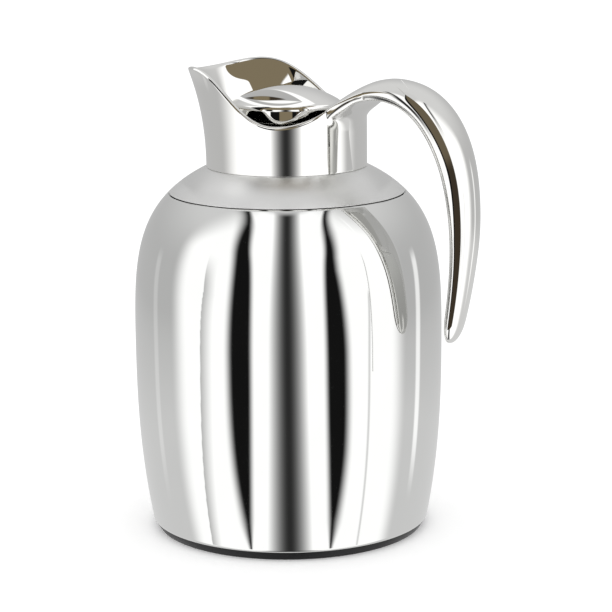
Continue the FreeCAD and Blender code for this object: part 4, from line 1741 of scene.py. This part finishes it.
@dataclass
class NearCards:
    """Small cards close to the jug, each hung and turned so that only one piece mirrors it.

    Azimuths are degrees to the right of the camera's direction, and lengths are millimetres.
    """

    viewpoint: Viewpoint
    tent: LightTent
    moulding: NeckAndHandle
    button: Button
    brown: Colour = (0.234, 0.191, 0.121)
    mid_brown: Colour = (0.15, 0.122, 0.08)
    dark_brown: Colour = (0.05, 0.038, 0.026)
    # Neck card
    neck_card_radius: float = 46.0
    neck_spread: float = 0.6
    neck_heights: Pair = (160.0, 206.0)
    neck_span_deg: float = 150.0
    neck_elevation_deg: float = -8.0
    neck_window_deg: float = 16.0
    neck_fade: Pair = (0.85, 1.0)
    neck_grid: tuple[int, int] = (40, 720)
    facing_deg: float = 85.0
    facing_count: int = 341
    # Mouth card
    mouth_radius: float = 48.0
    mouth_spread: float = 0.2
    mouth_bottom: float = 191.0
    mouth_top: float = 345.0
    mouth_span_deg: Pair = (-95.0, 95.0)
    mouth_grid: tuple[int, int] = (160, 380)
    mouth_overlap: float = 2.0
    mouth_edges: Pair = (-71.0, -43.0)
    brown_end_deg: float = 40.0
    brown_end_lean_deg: float = 46.0
    brown_end_heights: Pair = (246.0, 278.0)
    mouth_soft: float = 0.6
    handle_side_deg: float = 27.0
    handle_side_bottom: float = 226.0
    window_heights: Pair = (198.5, 214.0)
    window_degs: Pair = (-38.0, 20.0)
    window_soft: float = 1.0
    button_level: float = 202.0
    skirt_edges: tuple[float, ...] = (-24.0, -10.0, 9.0, 15.0)
    # Handle card; places are those along the handle
    handle_gap: float = 10.0
    handle_reach: float = 45.0
    handle_turn_deg: float = 40.0
    handle_places: Pair = (1.08, 2.97)
    handle_span_deg: Pair = (44.0, -75.0)
    handle_grid: tuple[int, int] = (140, 120)
    handle_soft: float = 1.5
    handle_fade: float = 0.08
    crown_span_deg: Pair = (178.0, 60.0)
    crown_count: int = 240
    band_start_deg: float = -32.0
    band_in_deg: float = 16.0
    band_in_places: Pair = (1.4, 1.75)
    band_out_deg: float = 24.0
    band_out_places: Pair = (1.75, 2.1)
    band_end_deg: float = 27.0
    band_end_lean_deg: float = 11.0
    band_end_places: Pair = (1.45, 1.9)
    pale_line_deg: float = 10.0
    dark_line_deg: float = 14.0
    darker_places: Pair = (1.62, 1.72)
    whole_places: Pair = (1.3, 1.6)
    # Button card; its pattern is laid out in picture pixels
    button_gap: float = 3.0
    button_grey: float = 0.5
    button_grid: tuple[int, int] = (120, 260)
    button_across: Pair = (234.0, 320.0)
    button_down: Pair = (112.0, 86.0)
    ring: Lens = Lens((236.0, 98.0), (315.0, 103.8), 11.2, 8.0, 0.7)
    eye: Lens = Lens((239.8, 96.3), (302.6, 101.9), 9.8, 6.5, 0.5)
    stripe: Lens = Lens((245.0, 98.0), (285.5, 99.4), 2.4, 1.7, 0.5)
    glint: Lens = Lens((258.0, 100.6), (300.0, 101.6), 0.6, 2.4, 0.7)
    stripe_brown: Pair = (253.5, 269.5)
    stripe_soft: float = 1.5

    @property
    def white(self) -> Colour:
        """Colour of the tent's white panels."""
        return (self.tent.white,) * 3

    @property
    def black(self) -> Colour:
        """Colour of the tent's dark flags."""
        return (self.tent.black,) * 3

    def bands(self, value: Points, edges: tuple, colours: tuple, soft: float) -> Points:
        """Colours that change at named edges, each change eased over a soft width.

        Args:
            value: Place of each point across the bands.
            edges: Where one band ends and the next starts.
            colours: One colour more than there are edges.
            soft: Half width of the ease.

        Returns:
            A colour for each point.
        """
        result = np.broadcast_to(np.array(colours[0]), (*np.shape(value), 3))
        for edge, colour in zip(edges, colours[1:]):
            share = smooth_step(value, edge - soft, edge + soft)[..., None]
            result = result + (np.array(colour) - result) * share
        return result

    def bend(self, radius: Points, azimuth: Points, height: Points) -> Points:
        """Points, in metres, of a card bent round the axis: (r cos a, r sin a, z)."""
        turn = np.radians(azimuth) + self.viewpoint.azimuth
        return np.stack([radius * np.cos(turn), radius * np.sin(turn), height], -1) * MM

    def neck_turns(self, radius: float, azimuth: Points) -> Points:
        """Directions of the camera's rays, mirrored by the neck, that pass places on a circle round it.

        Args:
            radius: Radius of the circle.
            azimuth: Azimuths of the places.

        Returns:
            Azimuths of the rays.
        """
        neck = self.moulding.lines.neck_radius
        facing = np.radians(np.linspace(-self.facing_deg, self.facing_deg, self.facing_count))
        spot = neck * np.stack([np.cos(facing), np.sin(facing)], 1)
        turned = 2 * facing - np.arctan2(-spot[:, 1], self.viewpoint.distance / MM - spot[:, 0])
        along = np.stack([np.cos(turned), np.sin(turned)], 1)
        inward = np.sum(spot * along, 1)
        passed = spot + (np.sqrt(inward ** 2 - neck ** 2 + radius ** 2) - inward)[:, None] * along
        place = np.unwrap(np.arctan2(passed[:, 1], passed[:, 0]))
        return np.interp(azimuth, np.degrees(place), np.degrees(turned))

    def build_neck_card(self, material: bpy.types.Material) -> None:
        """A funnel round the neck that shows it the tent without flags; other pieces meet it from outside.

        A window lets the handle through.

        Args:
            material: Material of the card.
        """
        rows, columns = self.neck_grid
        low, high = self.neck_heights
        turns = np.linspace(-self.neck_span_deg, self.neck_span_deg, columns)
        height, azimuth = np.meshgrid(np.linspace(low, high, rows), turns, indexing="ij")
        radius = self.neck_card_radius + self.neck_spread * (height - low)
        turned = np.array([self.neck_turns(row, turns) for row in radius[:, 0]])
        colour = self.tent.glow(turned, np.full_like(turned, self.neck_elevation_deg), True)
        beside = np.abs(azimuth - math.degrees(self.viewpoint.handle_turn))
        fade = 1 - smooth_step((height - low) / (high - low), *self.neck_fade)
        cover = fade * (beside > self.neck_window_deg)
        hang("neck_card", self.bend(radius, azimuth, height), colour, cover, material)

    def build_mouth_card(self, material: bpy.types.Material) -> None:
        """A brown card with white ends, above the rim before the mouth, for the spout and the button.

        It opens upwards like a funnel, so that rays that the shoulder sends up pass it on its clear side, and
        has a window where the neck would show it to the shoulder.

        Args:
            material: Material of the card.
        """
        rows, columns = self.mouth_grid
        azimuth, share = np.meshgrid(np.linspace(*self.mouth_span_deg, columns), np.linspace(0, 1, rows))
        rim = self.moulding.rim_height(np.radians(azimuth[0]) + self.viewpoint.azimuth)
        low = np.maximum(rim - self.mouth_overlap, self.mouth_bottom)
        low = np.where(azimuth[0] > self.handle_side_deg, self.handle_side_bottom, low)
        height = low + (self.mouth_top - low) * share
        white, black, brown = self.white, self.black, self.brown
        lean = smooth_step(height, *self.brown_end_heights)
        edges = (*self.mouth_edges, self.brown_end_deg + self.brown_end_lean_deg * lean)
        mouth = self.bands(azimuth, edges, (white, black, brown, white), self.mouth_soft)
        skirt_colours = (white, black, brown, black, self.dark_brown)
        skirt = self.bands(azimuth, self.skirt_edges, skirt_colours, self.mouth_soft)
        colour = np.where((height < self.button_level)[..., None], skirt, mouth)
        radius = self.mouth_radius + self.mouth_spread * (height - self.mouth_bottom)
        left, right = self.window_degs
        ahead = (azimuth > left) & (azimuth < right)
        window = between(height, *self.window_heights, self.window_soft) * ahead
        hang("mouth_card", self.bend(radius, azimuth, height), colour, 1 - window, material)

    def mirrored(self, place: float, wanted: Points) -> tuple[Points, Points]:
        """Where the camera's rays meet the handle's crown and how they go on, for wanted directions.

        The crown is a half ellipse across the handle. A ray that comes along v goes on along v - 2 (v.n) n.

        Args:
            place: Place along the handle.
            wanted: Azimuths of the mirrored rays.

        Returns:
            Points and directions whose level part is one long.
        """
        (x, z), (out_x, out_z) = self.moulding.handle_frame(place)
        width, crown = self.moulding.section_at(place)
        angle = np.radians(np.linspace(*self.crown_span_deg, self.crown_count))
        across, rise = np.cos(angle), np.sin(angle)
        point = np.stack([x + out_x * crown * rise, width * across, z + out_z * crown * rise], 1)
        normal = unit(np.stack([out_x * rise / crown, across / width, out_z * rise / crown], 1))
        ray = unit(point - self.viewpoint.position / MM)
        ray = ray - 2 * np.sum(ray * normal, 1)[:, None] * normal
        azimuth = np.degrees(np.arctan2(ray[:, 1], ray[:, 0]) - self.viewpoint.azimuth)
        azimuth = np.maximum.accumulate((azimuth + 180) % 360 - 180)
        ray = ray / np.linalg.norm(ray[:, :2], axis=1)[:, None]
        point, ray = (
            np.stack([np.interp(wanted, azimuth, part[:, k]) for k in range(3)], 1) for part in (point, ray)
        )
        return point, ray

    def build_handle_card(self, material: bpy.types.Material) -> None:
        """A brown band between white ones beside the handle, turned edge-on to the barrel's mirrored rays.

        Args:
            material: Material of the card.
        """
        rows, columns = self.handle_grid
        azimuth = np.linspace(*self.handle_span_deg, columns)
        places = np.linspace(*self.handle_places, rows)
        reach = self.handle_gap / np.cos(np.radians(azimuth + self.handle_turn_deg))
        reach = np.minimum(reach, self.handle_reach)[:, None]
        rays = [self.mirrored(place, azimuth) for place in places]
        grid = np.array([point + reach * ray for point, ray in rays])
        across, along = np.meshgrid(azimuth, places)
        start = self.band_start_deg + self.band_in_deg * smooth_step(along, *self.band_in_places)
        start = start - self.band_out_deg * smooth_step(along, *self.band_out_places)
        end = self.band_end_deg + self.band_end_lean_deg * smooth_step(along, *self.band_end_places)
        white, black = self.white, self.black
        pale, dark = (
            self.bands(across, (start, start + line, end), (white, black, brown, white), self.handle_soft)
            for line, brown in ((self.pale_line_deg, self.mid_brown), (self.dark_line_deg, self.dark_brown))
        )
        colour = pale + (dark - pale) * smooth_step(along, *self.darker_places)[..., None]
        band = between(across, start, end, self.handle_soft)
        cover = band + (1 - band) * smooth_step(along, *self.whole_places)
        first = self.handle_places[0]
        cover = cover * smooth_step(along, first, first + self.handle_fade)
        hang("handle_card", grid * MM, colour, cover, material)

    def build_button_card(self, material: bpy.types.Material) -> None:
        """A pale card with a dark stripe over the button, each point where a ray mirrored by the dome passes.

        Args:
            material: Material of the card.
        """
        rows, columns = self.button_grid
        x, y = np.meshgrid(np.linspace(*self.button_across, columns), np.linspace(*self.button_down, rows))
        ray = self.viewpoint.rays(x, y)
        radius = self.button.crown_radius
        centre = np.array([0.0, 0.0, self.button.crown_centre])
        out = self.viewpoint.position / MM - centre
        nearest = -ray @ out
        depth = radius ** 2 - out @ out + nearest ** 2
        normal = (out + (nearest - np.sqrt(np.maximum(depth, 0.0)))[..., None] * ray) / radius
        mirrored = ray - 2 * np.sum(ray * normal, -1)[..., None] * normal
        grid = centre + radius * normal + self.button_gap * mirrored
        stripe = self.stripe.cover(x, y)
        colour = np.broadcast_to(self.white, (*x.shape, 3))
        for cover, shade in (
            (self.eye.cover(x, y), (self.button_grey,) * 3),
            (self.glint.cover(x, y), self.white),
            (stripe, self.dark_brown),
            (stripe * between(x, *self.stripe_brown, self.stripe_soft), self.brown),
        ):
            colour = colour + (np.array(shade) - colour) * cover[..., None]
        hang("button_card", grid * MM, colour, self.ring.cover(x, y) * (depth > 0), material)

    def build(self) -> None:
        """Hangs all the cards."""
        material = cloth("card", True)
        self.build_neck_card(material)
        self.build_mouth_card(material)
        self.build_handle_card(material)
        self.build_button_card(material)


def main() -> None:
    """Loads the frame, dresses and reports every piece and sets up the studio."""
    logging.basicConfig(level=logging.INFO, format="%(name)s: %(message)s")
    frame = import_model()
    palette = Palette()
    lines = JugLines()
    moulding = NeckAndHandle(lines)
    button = Button(lines)
    for assembly in (Barrel(lines), moulding, button, Seals(), KeptPieces(frame["nodes"])):
        for piece in assembly.dress(palette):
            LOG.info("%s wears %s", piece.name, piece.data.materials[0].name)
    viewpoint = Viewpoint()
    viewpoint.build()
    tent = LightTent(viewpoint)
    tent.build()
    NearCards(viewpoint, tent, moulding, button).build()
    bpy.context.view_layer.update()
    LOG.info("dressed %d nodes", len(frame["nodes"]))


if __name__ == "__main__":
    main()
